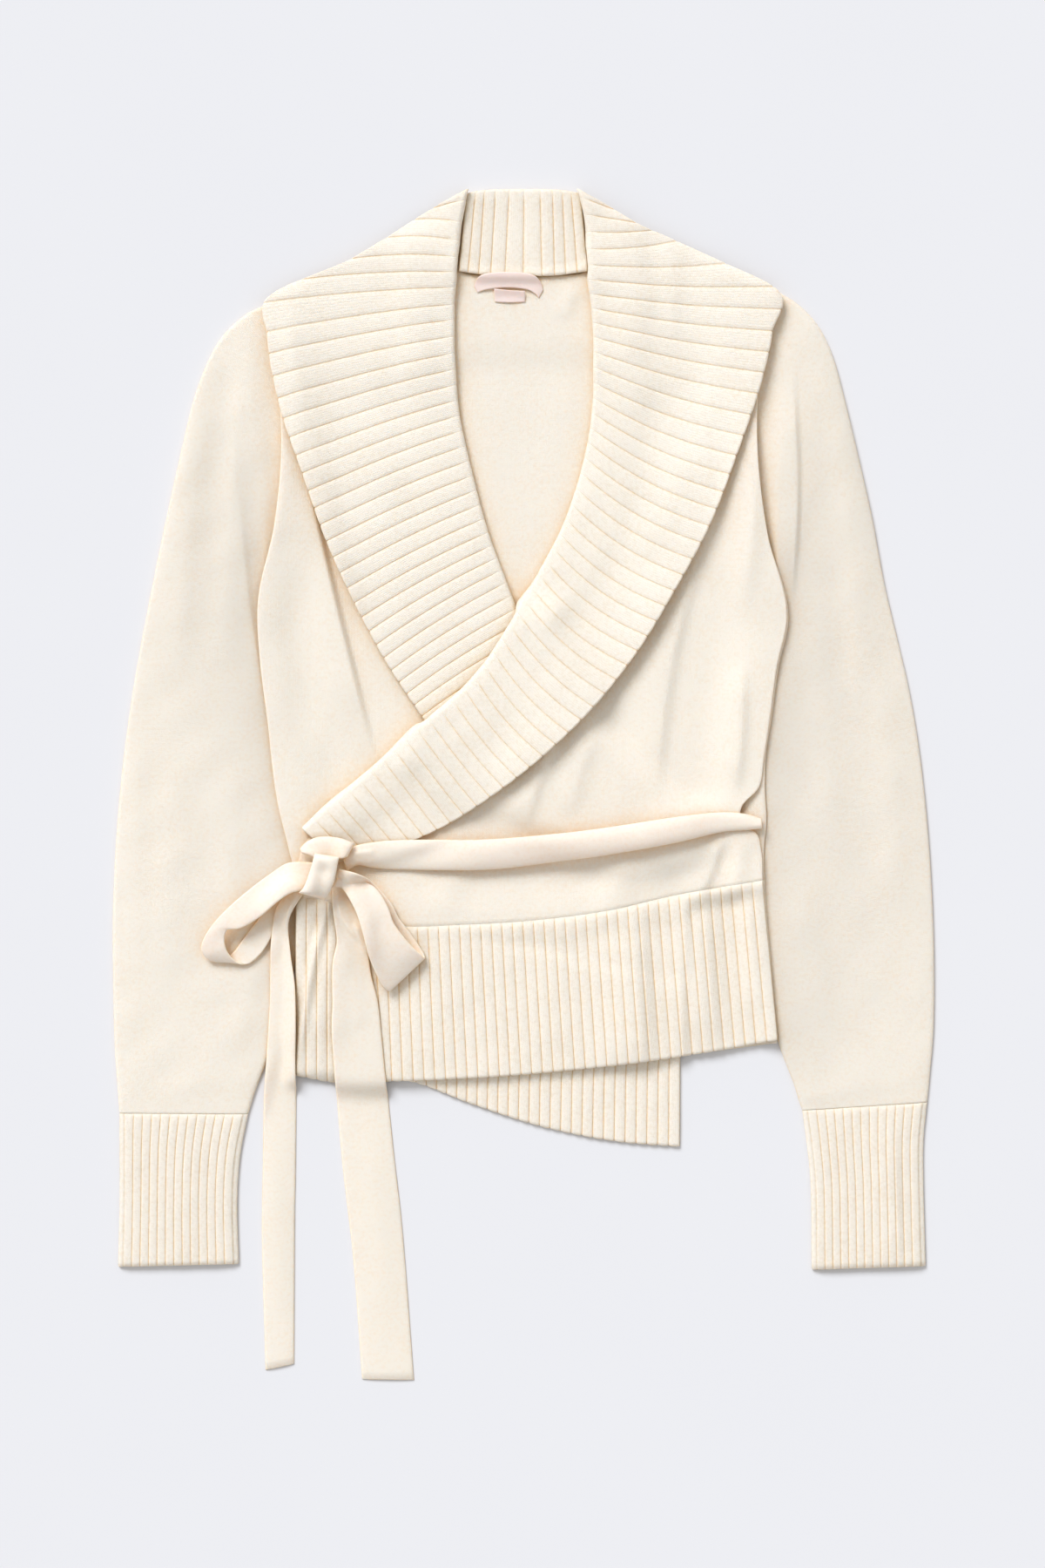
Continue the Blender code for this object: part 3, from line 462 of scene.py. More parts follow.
# How each piece was cut: the width and the length of its cloth before it was sewn, in metres.
CUTS = {
    "back": (0.375, 0.475),
    "hem_back": (0.35, 0.135),
    "front_under": (0.31, 0.52),
    "hem_front_under": (0.27, 0.16),
    "front_over": (0.345, 0.49),
    "hem_front_over": (0.34, 0.14),
    "sleeve_right": (0.25, 0.57),
    "sleeve_left": (0.25, 0.57),
    "cuff_right": (0.18, 0.11),
    "cuff_left": (0.18, 0.115),
    "lapel_under": (0.16, 0.62),
    "lapel_over": (0.16, 0.66),
    "collar_back": (0.35, 0.17),
    "tie_root": (0.06, 0.03),
    "tie_strap": (0.022, 0.31),
    "tie_wrap": (0.015, 0.042),
    "tie_knot": (0.02, 0.035),
    "tie_loop_right": (0.03, 0.19),
    "tie_loop_left": (0.033, 0.19),
    "tie_tail_right": (0.025, 0.35),
    "tie_tail_left": (0.036, 0.36),
    "neck_label": (0.047, 0.011),
    "size_tab": (0.022, 0.011),
}


def columns(table, names):
    """The table's columns as arrays, in the order of their names."""
    rows = np.array(table, float)
    if rows.shape[1] != len(names.split()):
        raise ValueError(names)
    return rows.T


def through(keys, values, at):
    """A smooth curve through values at keys, read at the places at."""
    keys = np.asarray(keys, float)
    values = np.asarray(values, float)
    at = np.asarray(at, float)
    slopes = np.gradient(values, keys, axis=0)
    first = np.clip(np.searchsorted(keys, at, side="right") - 1, 0, len(keys) - 2)
    span = (keys[first + 1] - keys[first])[:, None]
    t = (at - keys[first])[:, None] / span
    start, end = values[first], values[first + 1]
    curve = (2 * t**3 - 3 * t**2 + 1) * start + (3 * t**2 - 2 * t**3) * end
    curve += (t**3 - 2 * t**2 + t) * span * slopes[first]
    return curve + (t**3 - t**2) * span * slopes[first + 1]


def line(points, at):
    """A smooth curve through the given points, read at each share of its length."""
    points = np.array(points, float)
    keys = distances(points[None], 1)[0]
    fine = through(keys, points, np.linspace(0, keys[-1], 60 * len(points)))
    length = distances(fine[None], 1)[0]
    return np.stack([np.interp(at * length[-1], length, fine[:, axis]) for axis in (0, 1)], axis=1)


def spread(table, names, at):
    """The sections of a table read at each share of its rows, as rows of all its columns."""
    rows = np.stack(columns(table, names), axis=1)
    return through(np.arange(len(rows)), rows, at * (len(rows) - 1))


def even(count):
    return np.linspace(0, 1, count)


def across(start, end, share, bow=0.0):
    """Points at each share of the way from start to end, bowed sideways; rows x shares x 2."""
    start, end = np.asarray(start), np.asarray(end)
    chord = end - start
    length = np.maximum(np.linalg.norm(chord, axis=1), 1e-6)[:, None]
    side = np.stack([-chord[:, 1], chord[:, 0]], axis=1) / length
    share = np.broadcast_to(share, (len(start), np.shape(share)[-1]))
    bend = (np.zeros(len(start)) + bow)[:, None] * (4 * share * (1 - share))
    return start[:, None] + chord[:, None] * share[:, :, None] + side[:, None] * bend[:, :, None]


def patch(top, bottom, left, right, u, v):
    """The grid of points between four edges that meet at the corners, at shares u and v."""
    u, v = u[None, :, None], v[:, None, None]
    down = (1 - v) * top[None] + v * bottom[None]
    over = (1 - u) * left[:, None] + u * right[:, None]
    corners = (1 - v) * ((1 - u) * top[0] + u * top[-1])
    return down + over - corners - v * ((1 - u) * bottom[0] + u * bottom[-1])


def folds(points, table, pieces=24):
    """The height of the folds at each point."""
    total = np.zeros(points.shape[:-1])
    for x0, y0, x1, y1, x2, y2, east, west, height in table:
        course = line(((x0, y0), (x1, y1), (x2, y2)), even(pieces + 1))
        nearest = np.full(points.shape[:-1], np.inf)
        side = np.zeros(points.shape[:-1])
        share = np.zeros(points.shape[:-1])
        for number, (start, end) in enumerate(zip(course[:-1], course[1:])):
            step = end - start
            away = points - start
            t = np.clip((away @ step) / (step @ step), 0, 1)
            off = away - t[..., None] * step
            distance = np.hypot(off[..., 0], off[..., 1])
            closer = distance < nearest
            nearest = np.where(closer, distance, nearest)
            turned = step[0] * off[..., 1] - step[1] * off[..., 0]
            side = np.where(closer, np.sign(turned), side)
            share = np.where(closer, (number + t) / pieces, share)
        reach = np.where(side > 0, east, west)
        ends = np.clip(share / 0.3, 0, 1) * np.clip((1 - share) / 0.3, 0, 1)
        total += height * np.exp(-((nearest / reach) ** 2)) * eased(ends)
    return total


def eased(t):
    t = np.clip(t, 0, 1)
    return t * t * (3 - 2 * t)


def waves(points, sizes, seed):
    """Gentle unevenness of about 1 mm: a few sine waves of the given sizes, in mm."""
    chance = np.random.default_rng(seed)
    total = np.zeros(points.shape[:-1])
    for size in sizes:
        for angle, phase in chance.uniform(0, 2 * np.pi, (3, 2)):
            along = points[..., 0] * np.cos(angle) + points[..., 1] * np.sin(angle)
            total += np.sin(2 * np.pi * along / size + phase) / (3 * len(sizes))
    return total


def widened(field):
    """Each cell takes the highest of its neighbours."""
    for axis in (0, 1):
        field = np.maximum(field, np.maximum(np.roll(field, 1, axis), np.roll(field, -1, axis)))
    return field


def softened(field, times):
    for _ in range(times):
        for axis in (0, 1):
            field = (np.roll(field, 1, axis) + 2 * field + np.roll(field, -1, axis)) / 4
    return field


class Heap:
    """The height of the cloth laid so far, in mm, on a square grid."""

    def __init__(self):
        rows = int(2 * HALF_LENGTH / CELL) + 1
        self.top = np.zeros((rows, int(2 * HALF_WIDTH / CELL) + 1))

    def cell(self, points):
        row = np.clip((points[..., 1] + HALF_LENGTH) / CELL, 0, self.top.shape[0] - 2)
        column = np.clip((points[..., 0] + HALF_WIDTH) / CELL, 0, self.top.shape[1] - 2)
        return row, column

    def read(self, field, points):
        row, column = self.cell(points)
        i, j = row.astype(int), column.astype(int)
        a, b = row - i, column - j
        near = (1 - a) * ((1 - b) * field[i, j] + b * field[i, j + 1])
        return near + a * ((1 - b) * field[i + 1, j] + b * field[i + 1, j + 1])

    def rest(self, flat, lift=0.0, reach=CLOTH_REACH):
        """The under side of a sheet that rests on the heap and bridges steps over reach cells."""
        field = self.top
        for _ in range(reach):
            field = widened(field)
        below = self.read(softened(field, (reach * reach + 8) // 2), flat)
        height = below + GAP * np.clip(2 * below, 0, 1) + lift
        near = self.read(widened(self.top), flat)
        short = np.where(near > 0, np.maximum(near - height, 0), 0)
        height += smoothed(short, 2)
        return np.concatenate([flat, height[..., None]], axis=-1)

    def add(self, grid):
        near, over, down, far = grid[:-1, :-1], grid[:-1, 1:], grid[1:, :-1], grid[1:, 1:]
        sizes = [np.abs(np.diff(grid[..., :2], axis=axis)).max() for axis in (0, 1)]
        counts = [int(np.clip(np.ceil(size / CELL), 1, 12)) + 1 for size in sizes]
        for a in np.linspace(0, 1, counts[0]):
            for b in np.linspace(0, 1, counts[1]):
                points = (1 - a) * ((1 - b) * near + b * over) + a * ((1 - b) * down + b * far)
                row, column = self.cell(points)
                place = np.rint(row).astype(int), np.rint(column).astype(int)
                np.maximum.at(self.top, place, points[..., 2])


def smoothed(grid, times):
    """A grid of heights averaged with its neighbours."""
    for _ in range(times):
        wide = np.pad(grid, 1, mode="edge")
        wide = (wide[:-2] + 2 * wide[1:-1] + wide[2:]) / 4
        grid = (wide[:, :-2] + 2 * wide[:, 1:-1] + wide[:, 2:]) / 4
    return grid


def raised(grid, height):
    """The grid moved up."""
    moved = grid.copy()
    moved[..., 2] += height
    return moved


def laid(under, wall):
    """The upper face of a sheet, which now counts as the top of the heap."""
    top = raised(under, wall)
    HEAP.add(top)
    return top


def rib_wave(phase):
    """0 in a groove and 1 on a rib, for a phase that grows by one each rib."""
    side = np.abs(2 * (phase % 1) - 1)
    return 1 - 0.72 * side**13 - 0.28 * side**2.4


# 1 in a groove and 0 on a rib: where the grooves are painted darker as shade.
def in_groove(phase):
    return np.abs(2 * (phase % 1) - 1) ** 16


def rib_phases(first, last):
    """Phases from groove first to groove last, closer together at the grooves."""
    whole = np.arange(first, last)
    return np.append((whole[:, None] + RIB_POINTS[None]).ravel(), last)


def area_of(grid):
    """The area of a flat grid, in square metres."""
    a, b = grid[1:, 1:, :2] - grid[:-1, :-1, :2], grid[1:, :-1, :2] - grid[:-1, 1:, :2]
    return float(np.abs(a[..., 0] * b[..., 1] - a[..., 1] * b[..., 0]).sum() / 2) * MM * MM


def rimmed(outer, inner, bulge, ring, sewn):
    """The outer and the inner grid with a rounded rim that they share.

    sewn says whether the first row, the last row and the sides are sewn to a neighbour: there the
    rim is flush.
    """
    wide = ((1, 1), (0, 0) if ring else (1, 1), (0, 0))
    share = np.full((*outer.shape[:2], 1), 0.85 if sewn[2] else 0.5)
    share[0], share[-1] = (0.85 if row else 0.5 for row in sewn[:2])
    middle = np.pad(inner + (outer - inner) * share, wide, mode="edge")

    def beyond(edge, before, reach):
        step = edge - before
        return edge + reach * step / np.maximum(np.linalg.norm(step, axis=-1, keepdims=True), 1e-6)

    first, last, side = (0.2 if row else bulge for row in sewn)
    middle[0], middle[-1] = beyond(middle[1], middle[2], first), beyond(middle[-2], middle[-3], last)
    if not ring:
        middle[:, 0] = beyond(middle[:, 1], middle[:, 2], side)
        middle[:, -1] = beyond(middle[:, -2], middle[:, -3], side)
    made = []
    for grid in (outer, inner):
        grid = np.pad(grid, wide, mode="edge")
        grid[0], grid[-1] = middle[0], middle[-1]
        if not ring:
            grid[:, 0], grid[:, -1] = middle[:, 0], middle[:, -1]
        made.append(grid)
    return made


def quads(index, ring):
    if ring:
        index = np.concatenate([index, index[:, :1]], axis=1)
    corners = (index[:-1, :-1], index[:-1, 1:], index[1:, 1:], index[1:, :-1])
    return np.stack([corner.ravel() for corner in corners], axis=1)


def dress(
    node, outer, inner, stitches, groove, look,
    area=None, ring=False, bulge=0.6, sewn=(False, False, False),
):
    """The piece of cloth that stands for a node: a closed wall between two grids of points.

    stitches counts columns and rows of stitches at each point, and groove is 1 between two ribs,
    where the colour is painted darker as shade.
    """
    groove = np.broadcast_to(groove, outer.shape[:2])
    outer, inner = rimmed(outer, inner, bulge, ring, sewn)
    wide = ((1, 1), (0, 0) if ring else (1, 1))
    groove = np.pad(groove, wide, mode="edge")
    stitches = np.pad(stitches, (*wide, (0, 0)), mode="edge")
    rows, count = outer.shape[:2]
    over = np.arange(rows * count).reshape(rows, count)
    under = over + rows * count
    under[0], under[-1] = over[0], over[-1]
    if not ring:
        under[:, 0], under[:, -1] = over[:, 0], over[:, -1]
    points = np.concatenate([outer.reshape(-1, 3), inner.reshape(-1, 3)]) * MM
    faces = np.concatenate([quads(over, ring), quads(under, ring)[:, ::-1]])
    if ring:
        turn = 2 * stitches[:, :1] - stitches[:, 1:2]
        turn[..., 0] = stitches[:, -1:, 0] + 1
        stitches = np.concatenate([stitches, turn], axis=1)
    flat_index = np.arange(stitches[..., 0].size).reshape(stitches.shape[:2])
    corners = quads(flat_index, False)
    marks = stitches.reshape(-1, 2)[np.concatenate([corners, corners[:, ::-1]])]
    a, b, c, d = (points[faces[:, k]] for k in range(4))
    volume = (a * np.cross(b, c)).sum() + (a * np.cross(c, d)).sum()
    if volume < 0:
        faces, marks = faces[:, ::-1], marks[:, ::-1]
    used, faces = np.unique(faces, return_inverse=True)
    faces = faces.reshape(-1, 4)
    mesh = bpy.data.meshes.new(node + "_cloth")
    mesh.from_pydata(points[used].tolist(), [], faces.tolist())
    marked = mesh.uv_layers.new(name="stitches")
    marked.data.foreach_set("uv", marks.reshape(-1).astype(np.float32))
    # The groove attribute tells the material where to paint shade; the inner face gets none.
    painted_shade = mesh.attributes.new("groove", "FLOAT", "POINT")
    both = np.concatenate([groove.ravel(), np.zeros(groove.size)])
    painted_shade.data.foreach_set("value", both[used].astype(np.float32))
    mesh.shade_smooth()
    mesh.materials.append(LOOKS[look])
    piece = placed(node + "_cloth", mesh)
    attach(piece, "root")
    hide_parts(node)
    if area is None:
        area = area_of(outer)
    width, length = CUTS[node]
    area = min(area, width * length)


def stitched(column, along):
    """Counts of stitches at each point, from the column it is in and how far along it is, in mm."""
    return np.stack(np.broadcast_arrays(column, along / COURSE), axis=-1)


def jersey_stitches(flat):
    return stitched(flat[..., 0] / WALE, flat[..., 1])


def rib_stitches(phase, along):
    return stitched(phase * WALES_A_RIB, along)


def distances(grid, axis):
    """How far each point is along its row or column, in mm."""
    steps = np.linalg.norm(np.diff(grid[..., :2], axis=axis), axis=-1)
    start = np.zeros_like(np.take(steps, [0], axis=axis))
    return np.concatenate([start, np.cumsum(steps, axis=axis)], axis=axis)


def side_round(distance, radius):
    """0 at a side fold and 1 from radius on, round between."""
    return np.sqrt(np.clip(1 - (1 - np.clip(distance / radius, 0, 1)) ** 2, 0, 1))


def tube(node, rows, bow, interior, relief, fullness, stitches_of, look, sewn):
    """A flat sleeve or cuff: rows of outer and inner fold, points across its upper side at the
    shares interior, with relief on them and fullness over them.
    """
    start, end = rows[:, :2], rows[:, 2:4]
    width = np.linalg.norm(end - start, axis=1)[:, None]

    def shares(inner_shares, count):
        near = EDGE_STEPS[None] / width
        inset = near[:, -1:] * 1.5
        middle = inset + (1 - 2 * inset) * inner_shares[None]
        return np.concatenate([near, middle, 1 - near[:, ::-1]], axis=1)

    top = shares(interior, len(interior))
    bottom = shares(even(9), 9)[:, ::-1]
    zero, one = np.zeros((len(rows), 1)), np.ones((len(rows), 1))
    share = np.concatenate([zero, top, one, bottom], axis=1)
    path = across(start, end, share, bow)
    upper = slice(1, 1 + top.shape[1])
    away = np.minimum(share, 1 - share) * width
    roundness = side_round(away, SIDE_RADIUS)
    wall = RIB if look == "rib" else JERSEY
    height = np.full(share.shape, SIDE_HEIGHT) * (1 - roundness)
    over = 2 * wall + SLEEVE_AIR + fullness(path[:, upper])
    fade = side_round(away[:, upper], SIDE_FADE)
    if np.ndim(relief):
        sides = len(EDGE_STEPS)
        relief = np.pad(relief, ((0, 0), (sides, sides)), mode="edge")
    over = over + relief * np.minimum(1, away[:, upper] / 2)
    flat_part = 2 * wall + SLEEVE_AIR - 0.8
    over = flat_part + (over - flat_part) * fade
    height[:, upper] += over * roundness[:, upper]
    outer = np.concatenate([path, height[..., None]], axis=-1)
    centre = ((start + end) / 2)[:, None]
    shrunk = centre + (path - centre) * (1 - 2 * wall / width)[..., None]
    off = height - SIDE_HEIGHT
    least = 0.08 * roundness
    thinner = np.maximum(np.abs(off) - (wall + np.max(relief)) * roundness, least)
    inner = np.concatenate([shrunk, (SIDE_HEIGHT + np.sign(off) * thinner)[..., None]], axis=-1)
    HEAP.add(outer[:, : top.shape[1] + 2])
    counts, groove = stitches_of(share, width)
    ring_area = 2 * area_of(path[:, : top.shape[1] + 2])
    dress(node, outer, inner, counts, groove, look, area=ring_area, ring=True, bulge=0.5, sewn=sewn)


def make_sleeves():
    plans = (
        ("right", SLEEVE_RIGHT, FOLDS_SLEEVE_RIGHT, CUFF_RIGHT),
        ("left", SLEEVE_LEFT, FOLDS_SLEEVE_LEFT, CUFF_LEFT),
    )
    for number, (side, table, creases, cuff_table) in enumerate(plans):
        rows = spread(table, SLEEVE_COLUMNS, even(190))
        along = distances(rows[None, :, :2], 1)[0]
        ends = eased(along / 25) * eased((along[-1] - along) / 22)

        def fullness(points):
            across_share = even(points.shape[1])[None]
            puff = SLEEVE_FULLNESS * np.sin(np.pi * across_share) ** 0.7
            rise = puff + folds(points, creases) + 0.5 * waves(points, (60, 31), 4 + number)
            return rise * (0.15 + 0.85 * ends[:, None])

        def sleeve_stitches(share, width):
            return stitched(share * width / WALE, along[:, None]), 0.0

        tube(
            "sleeve_" + side, rows, rows[:, 4], even(48), 0.0, fullness,
            sleeve_stitches, "jersey", (True, True, False),
        )
        rows = spread(cuff_table, CUFF_COLUMNS, even(44))
        phases = rib_phases(0, CUFF_RIBS)
        down = np.linalg.norm(rows[:, :2] - rows[0, :2], axis=1)[:, None]
        relief = 0.8 * RIB_RELIEF * rib_wave(phases)[None] * eased((down + 1) / 4)

        def cuff_fullness(points):
            return 0.35 * waves(points, (45, 22), 9 + number) + folds(points, FOLDS_CUFFS)

        def cuff_stitches(share, width):
            phase = share * CUFF_RIBS
            groove = np.zeros(share.shape)
            ribs = slice(1 + len(EDGE_STEPS), 1 + len(EDGE_STEPS) + len(phases))
            phase[:, ribs] = phases
            # The cuff's grooves are painted darker as shade.
            groove[:, ribs] = in_groove(phases)
            return rib_stitches(phase, down), groove

        tube(
            "cuff_" + side, rows, 0.0, phases / CUFF_RIBS, relief, cuff_fullness,
            cuff_stitches, "rib", (True, False, False),
        )


def joined(seam_height, grid, reach_rows):
    """The grid with its first row at the seam's height, which fades out over some rows."""
    fade = 1 - eased(np.arange(len(grid)) / reach_rows)
    off = seam_height - grid[0, :, 2]
    grid[..., 2] += fade[:, None] * off[None]
    return grid


def panel(node, flat, creases, edge, ribs, hem_creases, seed, reach=CLOTH_REACH):
    """A plain panel and the ribbed band that runs on from its lower edge."""
    rise = folds(flat, creases) + 0.35 * (1 + waves(flat, (70, 34), seed))
    under = HEAP.rest(flat, rise, reach)
    phases = rib_phases(0, ribs)
    share = phases / ribs
    seam = np.stack([np.interp(share, even(flat.shape[1]), flat[-1, :, k]) for k in (0, 1)], axis=1)
    bottom = line(edge, share)
    wave = rib_wave(phases)
    out = bottom - seam
    out /= np.linalg.norm(out, axis=1)[:, None]
    bottom = bottom + out * (0.9 * wave)[:, None]
    hem_flat = across(seam, bottom, np.append(even(40)[:-1], [0.985, 1])).transpose(1, 0, 2)
    down = distances(hem_flat, 0)
    rise = folds(hem_flat, hem_creases) + 0.3 * (1 + waves(hem_flat, (60, 27), seed + 1))
    seam_height = np.interp(share, even(flat.shape[1]), under[-1, :, 2])
    hem_under = joined(seam_height, HEAP.rest(hem_flat, rise), 5)
    begun = eased((down + 1) / 4)
    top = laid(under, JERSEY)
    hem_top = laid(hem_under, RIB + RIB_RELIEF * wave[None] * begun)
    dress(
        node, top, under, jersey_stitches(flat), 0.0, "jersey",
        sewn=(False, True, True),
    )
    # The hem's grooves are painted darker as shade, from where its ribs begin.
    dress(
        "hem_" + node, hem_top, hem_under, rib_stitches(phases, down), in_groove(phases) * begun,
        "rib", sewn=(True, False, False),
    )


def armhole(table, side):
    """The edge of the body along the sleeve's first section."""
    first = np.array(table[0], float)
    share = np.array([0.02, 0.25, 0.5, 0.75, 0.97])
    course = across(first[None, :2], first[None, 2:4], share, first[4])[0]
    course[:, 0] += side * 0.3
    return course


def body_edge(table, lower, side, top):
    return np.array([top, *armhole(table, side)[1:-1], *lower], float)


def make_back():
    left = body_edge(SLEEVE_RIGHT, SIDE_RIGHT, 1, SHOULDER_RIGHT[0])
    right = body_edge(SLEEVE_LEFT, SIDE_LEFT, -1, SHOULDER_LEFT[-1])
    top = np.vstack([SHOULDER_RIGHT, NECKLINE_BACK, SHOULDER_LEFT])
    u, v = even(110), even(140)
    flat = patch(line(top, u), line(SEAM_BACK, u), line(left, v), line(right, v), u, v)
    shown = folds(flat, FOLDS_BACK) * eased((flat[..., 1] - 60) / 60)
    under = HEAP.rest(flat, shown, WIDE_REACH)
    dress("back", laid(under, JERSEY), under, jersey_stitches(flat), 0.0, "jersey")
    seam = line(SEAM_BACK, even(90)) + np.array([0, -GAP])
    hem = across(seam, line(HEM_BACK, even(90)), even(30)).transpose(1, 0, 2)
    under = HEAP.rest(hem)
    stitches = rib_stitches(hem[..., 0] / HEM_RIB, distances(hem, 0))
    dress("hem_back", laid(under, RIB), under, stitches, 0.0, "rib")


def lapel_sections(table, at):
    """The roll, the free edge, the way to it and its length, the bow and the stand's width."""
    rib, *rest = columns(table, LAPEL_COLUMNS)
    rows = through(rib, np.stack(rest, axis=1), at)
    roll, free = rows[:, 0:2], rows[:, 2:4]
    length = np.linalg.norm(free - roll, axis=1)[:, None]
    return roll, free, (free - roll) / length, length, rows[:, 4], rows[:, 5:]


def seam_of(table, first, last):
    """The front's edge where the lapel's stand is sewn to it."""
    roll, _, out, _, _, stand = lapel_sections(table, np.linspace(first, last, 24))
    return roll + out * (stand + GAP)


def make_front_under():
    seam = seam_of(LAPEL_UNDER, -2.5, 43)
    left = body_edge(SLEEVE_RIGHT, SIDE_RIGHT[:-1] + (SEAM_UNDER[0],), 1, SHOULDER_RIGHT[0])
    right = np.vstack([seam, [(110, -75), (109, -110), SEAM_UNDER[-1]]])
    top = np.vstack([SHOULDER_RIGHT[:4], seam[:1]])
    u, v = even(130), even(150)
    flat = patch(line(top, u), line(SEAM_UNDER, u), line(left, v), line(right, v), u, v)
    panel(
        "front_under", flat, FOLDS_FRONT_UNDER, HEM_UNDER, HEM_RIBS_UNDER, (), 21,
    )


def make_front_over():
    seam = seam_of(LAPEL_OVER, 0.5, 47.5)
    right = body_edge(SLEEVE_LEFT, SIDE_LEFT_OVER, -1, SHOULDER_LEFT[-1])
    left = np.vstack([seam, [(-155.5, -60), SEAM_OVER[0]]])
    top = np.vstack([seam[:1], SHOULDER_LEFT[2:]])
    u, v = even(170), even(160)
    flat = patch(line(top, u), line(SEAM_OVER, u), line(left, v), line(right, v), u, v)
    panel(
        "front_over", flat, FOLDS_FRONT_OVER, HEM_OVER, HEM_RIBS_OVER, FOLDS_HEM_OVER, 31,
        WIDE_REACH,
    )


def folded(node, lower, upper, at, away, relief, on_fold, area):
    """A ribbed sheet folded over on itself: lower ends and upper begins above the fold's middle.

    at numbers the rib that each row lies in, away is how far each point of upper is from the fold,
    relief is how high the ribs stand, and on_fold the share of it on the fold.
    """
    ribs = relief * rib_wave(at)[:, None]
    shown = eased(away / GROOVE_FADE)
    top = laid(upper, RIB + ribs * (HIDDEN_RELIEF + (1 - HIDDEN_RELIEF) * shown))
    inward = upper[:, 1, :2] - upper[:, 0, :2] + lower[:, -2, :2] - lower[:, -1, :2]
    inward /= np.linalg.norm(inward, axis=1)[:, None]
    low, high = lower[:, -1, 2], upper[:, 0, 2] + RIB
    radius = ((high - low) / 2)[:, None]
    theta = np.radians(np.linspace(-90, 90, 9))[1:-1]

    def arc(reach):
        place = upper[:, :1, :2] - inward[:, None] * (reach * np.cos(theta))[..., None]
        height = low[:, None] + radius + reach * np.sin(theta)
        return np.concatenate([place, height[..., None]], axis=-1)

    swell = on_fold * ribs * eased(theta / np.pi + 0.5)
    outer = np.concatenate([lower, arc(radius + swell), top], axis=1)
    thin = arc(np.maximum(radius - RIB, 0.15))
    inner = np.concatenate([raised(lower, RIB), thin, upper], axis=1)
    # The grooves of the upper side are painted darker as shade, less where they run into the fold.
    groove = np.zeros(outer.shape[:2])
    groove[:, -upper.shape[1] :] = in_groove(at)[:, None] * shown
    stitches = rib_stitches(at[:, None], distances(outer, 1))
    dress(node, outer, inner, stitches, groove, "rib", area)


def lapel(node, table, at, relief, lift, creases, seed):
    """A lapel: its stand lies under, the roll is its fold, and the ribs cross its upper side."""
    roll, free, out, length, bow, stand = lapel_sections(table, at)
    begin = roll + out * ROLL_INSET
    lower_flat = across(roll + out * stand, begin, even(7))
    lower = HEAP.rest(lower_flat)
    laid(lower, RIB)
    share = np.append(even(50)[:-1] ** 0.95, [0.992, 1])
    wave = rib_wave(at)[:, None]
    upper_flat = across(begin, free, share, -bow)
    upper_flat += (out * wave * 0.7)[:, None] * eased((share - 0.97) / 0.03)[None, :, None]
    away = share[None] * length
    rise = LAPEL_AIR + ROLL_LIFT * np.exp(-away / 13) + lift * eased(share)[None] ** 1.3
    rise = rise + folds(upper_flat, creases) + 0.3 * (1 + waves(upper_flat, (64, 30), seed))
    upper = HEAP.rest(upper_flat, rise, LAPEL_REACH)
    area = area_of(lower_flat) + area_of(upper_flat)
    folded(node, lower, upper, at, away, relief, 0.3, area)


def make_lapel_under():
    at = rib_phases(-6, 43)
    at = at[at >= LAPEL_UNDER[0][0]]
    relief = LAPEL_RELIEF * eased((LAST_SHOWN_RIB_UNDER + 4 - at) / 4)[:, None]
    lift = LAPEL_LIFT * eased((at - 4) / 10)[:, None]
    lapel("lapel_under", LAPEL_UNDER, at, relief, lift, FOLDS_LAPEL_UNDER, 41)


def make_lapel_over():
    at = rib_phases(-2, 47)
    at = at[at >= LAPEL_OVER[0][0]]
    lift = COLLAR_LIFT * (eased((at - 8) / 14) * eased((42 - at) / 14))[:, None]
    lapel("lapel_over", LAPEL_OVER, at, LAPEL_RELIEF, lift, FOLDS_LAPEL_OVER, 51)


def collar_rows():
    """The collar's sections, which run on a little under both lapels: their ribs, seam, begin below
    the roll, free edge and length.
    """
    at = rib_phases(0, NECK_RIBS)
    rows = spread(COLLAR_BACK, NECK_COLUMNS, at / NECK_RIBS)
    rows[:, 0:4:2] *= 1.0 + 0.06 * np.abs(2 * at[:, None] / NECK_RIBS - 1) ** 6
    seam, roll = rows[:, 0:2], rows[:, 2:4]
    length = np.linalg.norm(seam - roll, axis=1)[:, None]
    return at, seam, roll + (seam - roll) / length * ROLL_INSET, rows[:, 4:6], length


def make_collar_fall():
    """The collar's outer fall, which lies behind the neck, under the back."""
    _, _, begin, free, _ = collar_rows()
    under = HEAP.rest(across(free, begin, even(24)))
    laid(under, RIB)
    return under


def make_collar_back(fall):
    at, seam, begin, _, length = collar_rows()
    share = even(26)
    flat = across(begin, seam, share)
    away = share[None] * length
    upper = HEAP.rest(flat, LAPEL_AIR + NECK_ROLL_LIFT * np.exp(-away / 8))
    area = area_of(fall) + area_of(flat)
    folded("collar_back", fall, upper, at, away, RIB_RELIEF, 0.4, area)


def band(table, along, wide):
    """The grid of a ribbon: rows along it and columns across it."""
    rows = spread(table, BAND_COLUMNS, even(along))
    return across(rows[:, :2], rows[:, 2:], even(wide))


def ribbon_stitches(grid):
    return np.stack([distances(grid, 1), distances(grid, 0)], axis=-1)


def ribbon(node, table, along, wide, curl=0.6, thickness=TIE, lift=0.0, creases=(), ends=0.0):
    """A stretch of the tie on the heap: its edges curl down, and its ends too where they hide."""
    flat = band(table, along, wide)
    side = np.abs(2 * even(wide) - 1)[None]
    tip = np.abs(2 * even(along) - 1)[:, None]
    rise = lift + curl * (1 - side**3) + ends * np.sqrt(np.clip(1 - tip**6, 0, 1))
    under = HEAP.rest(flat, rise + folds(flat, creases), TIE_REACH)
    dress(node, laid(under, thickness), under, ribbon_stitches(flat), 0.0, "tie")


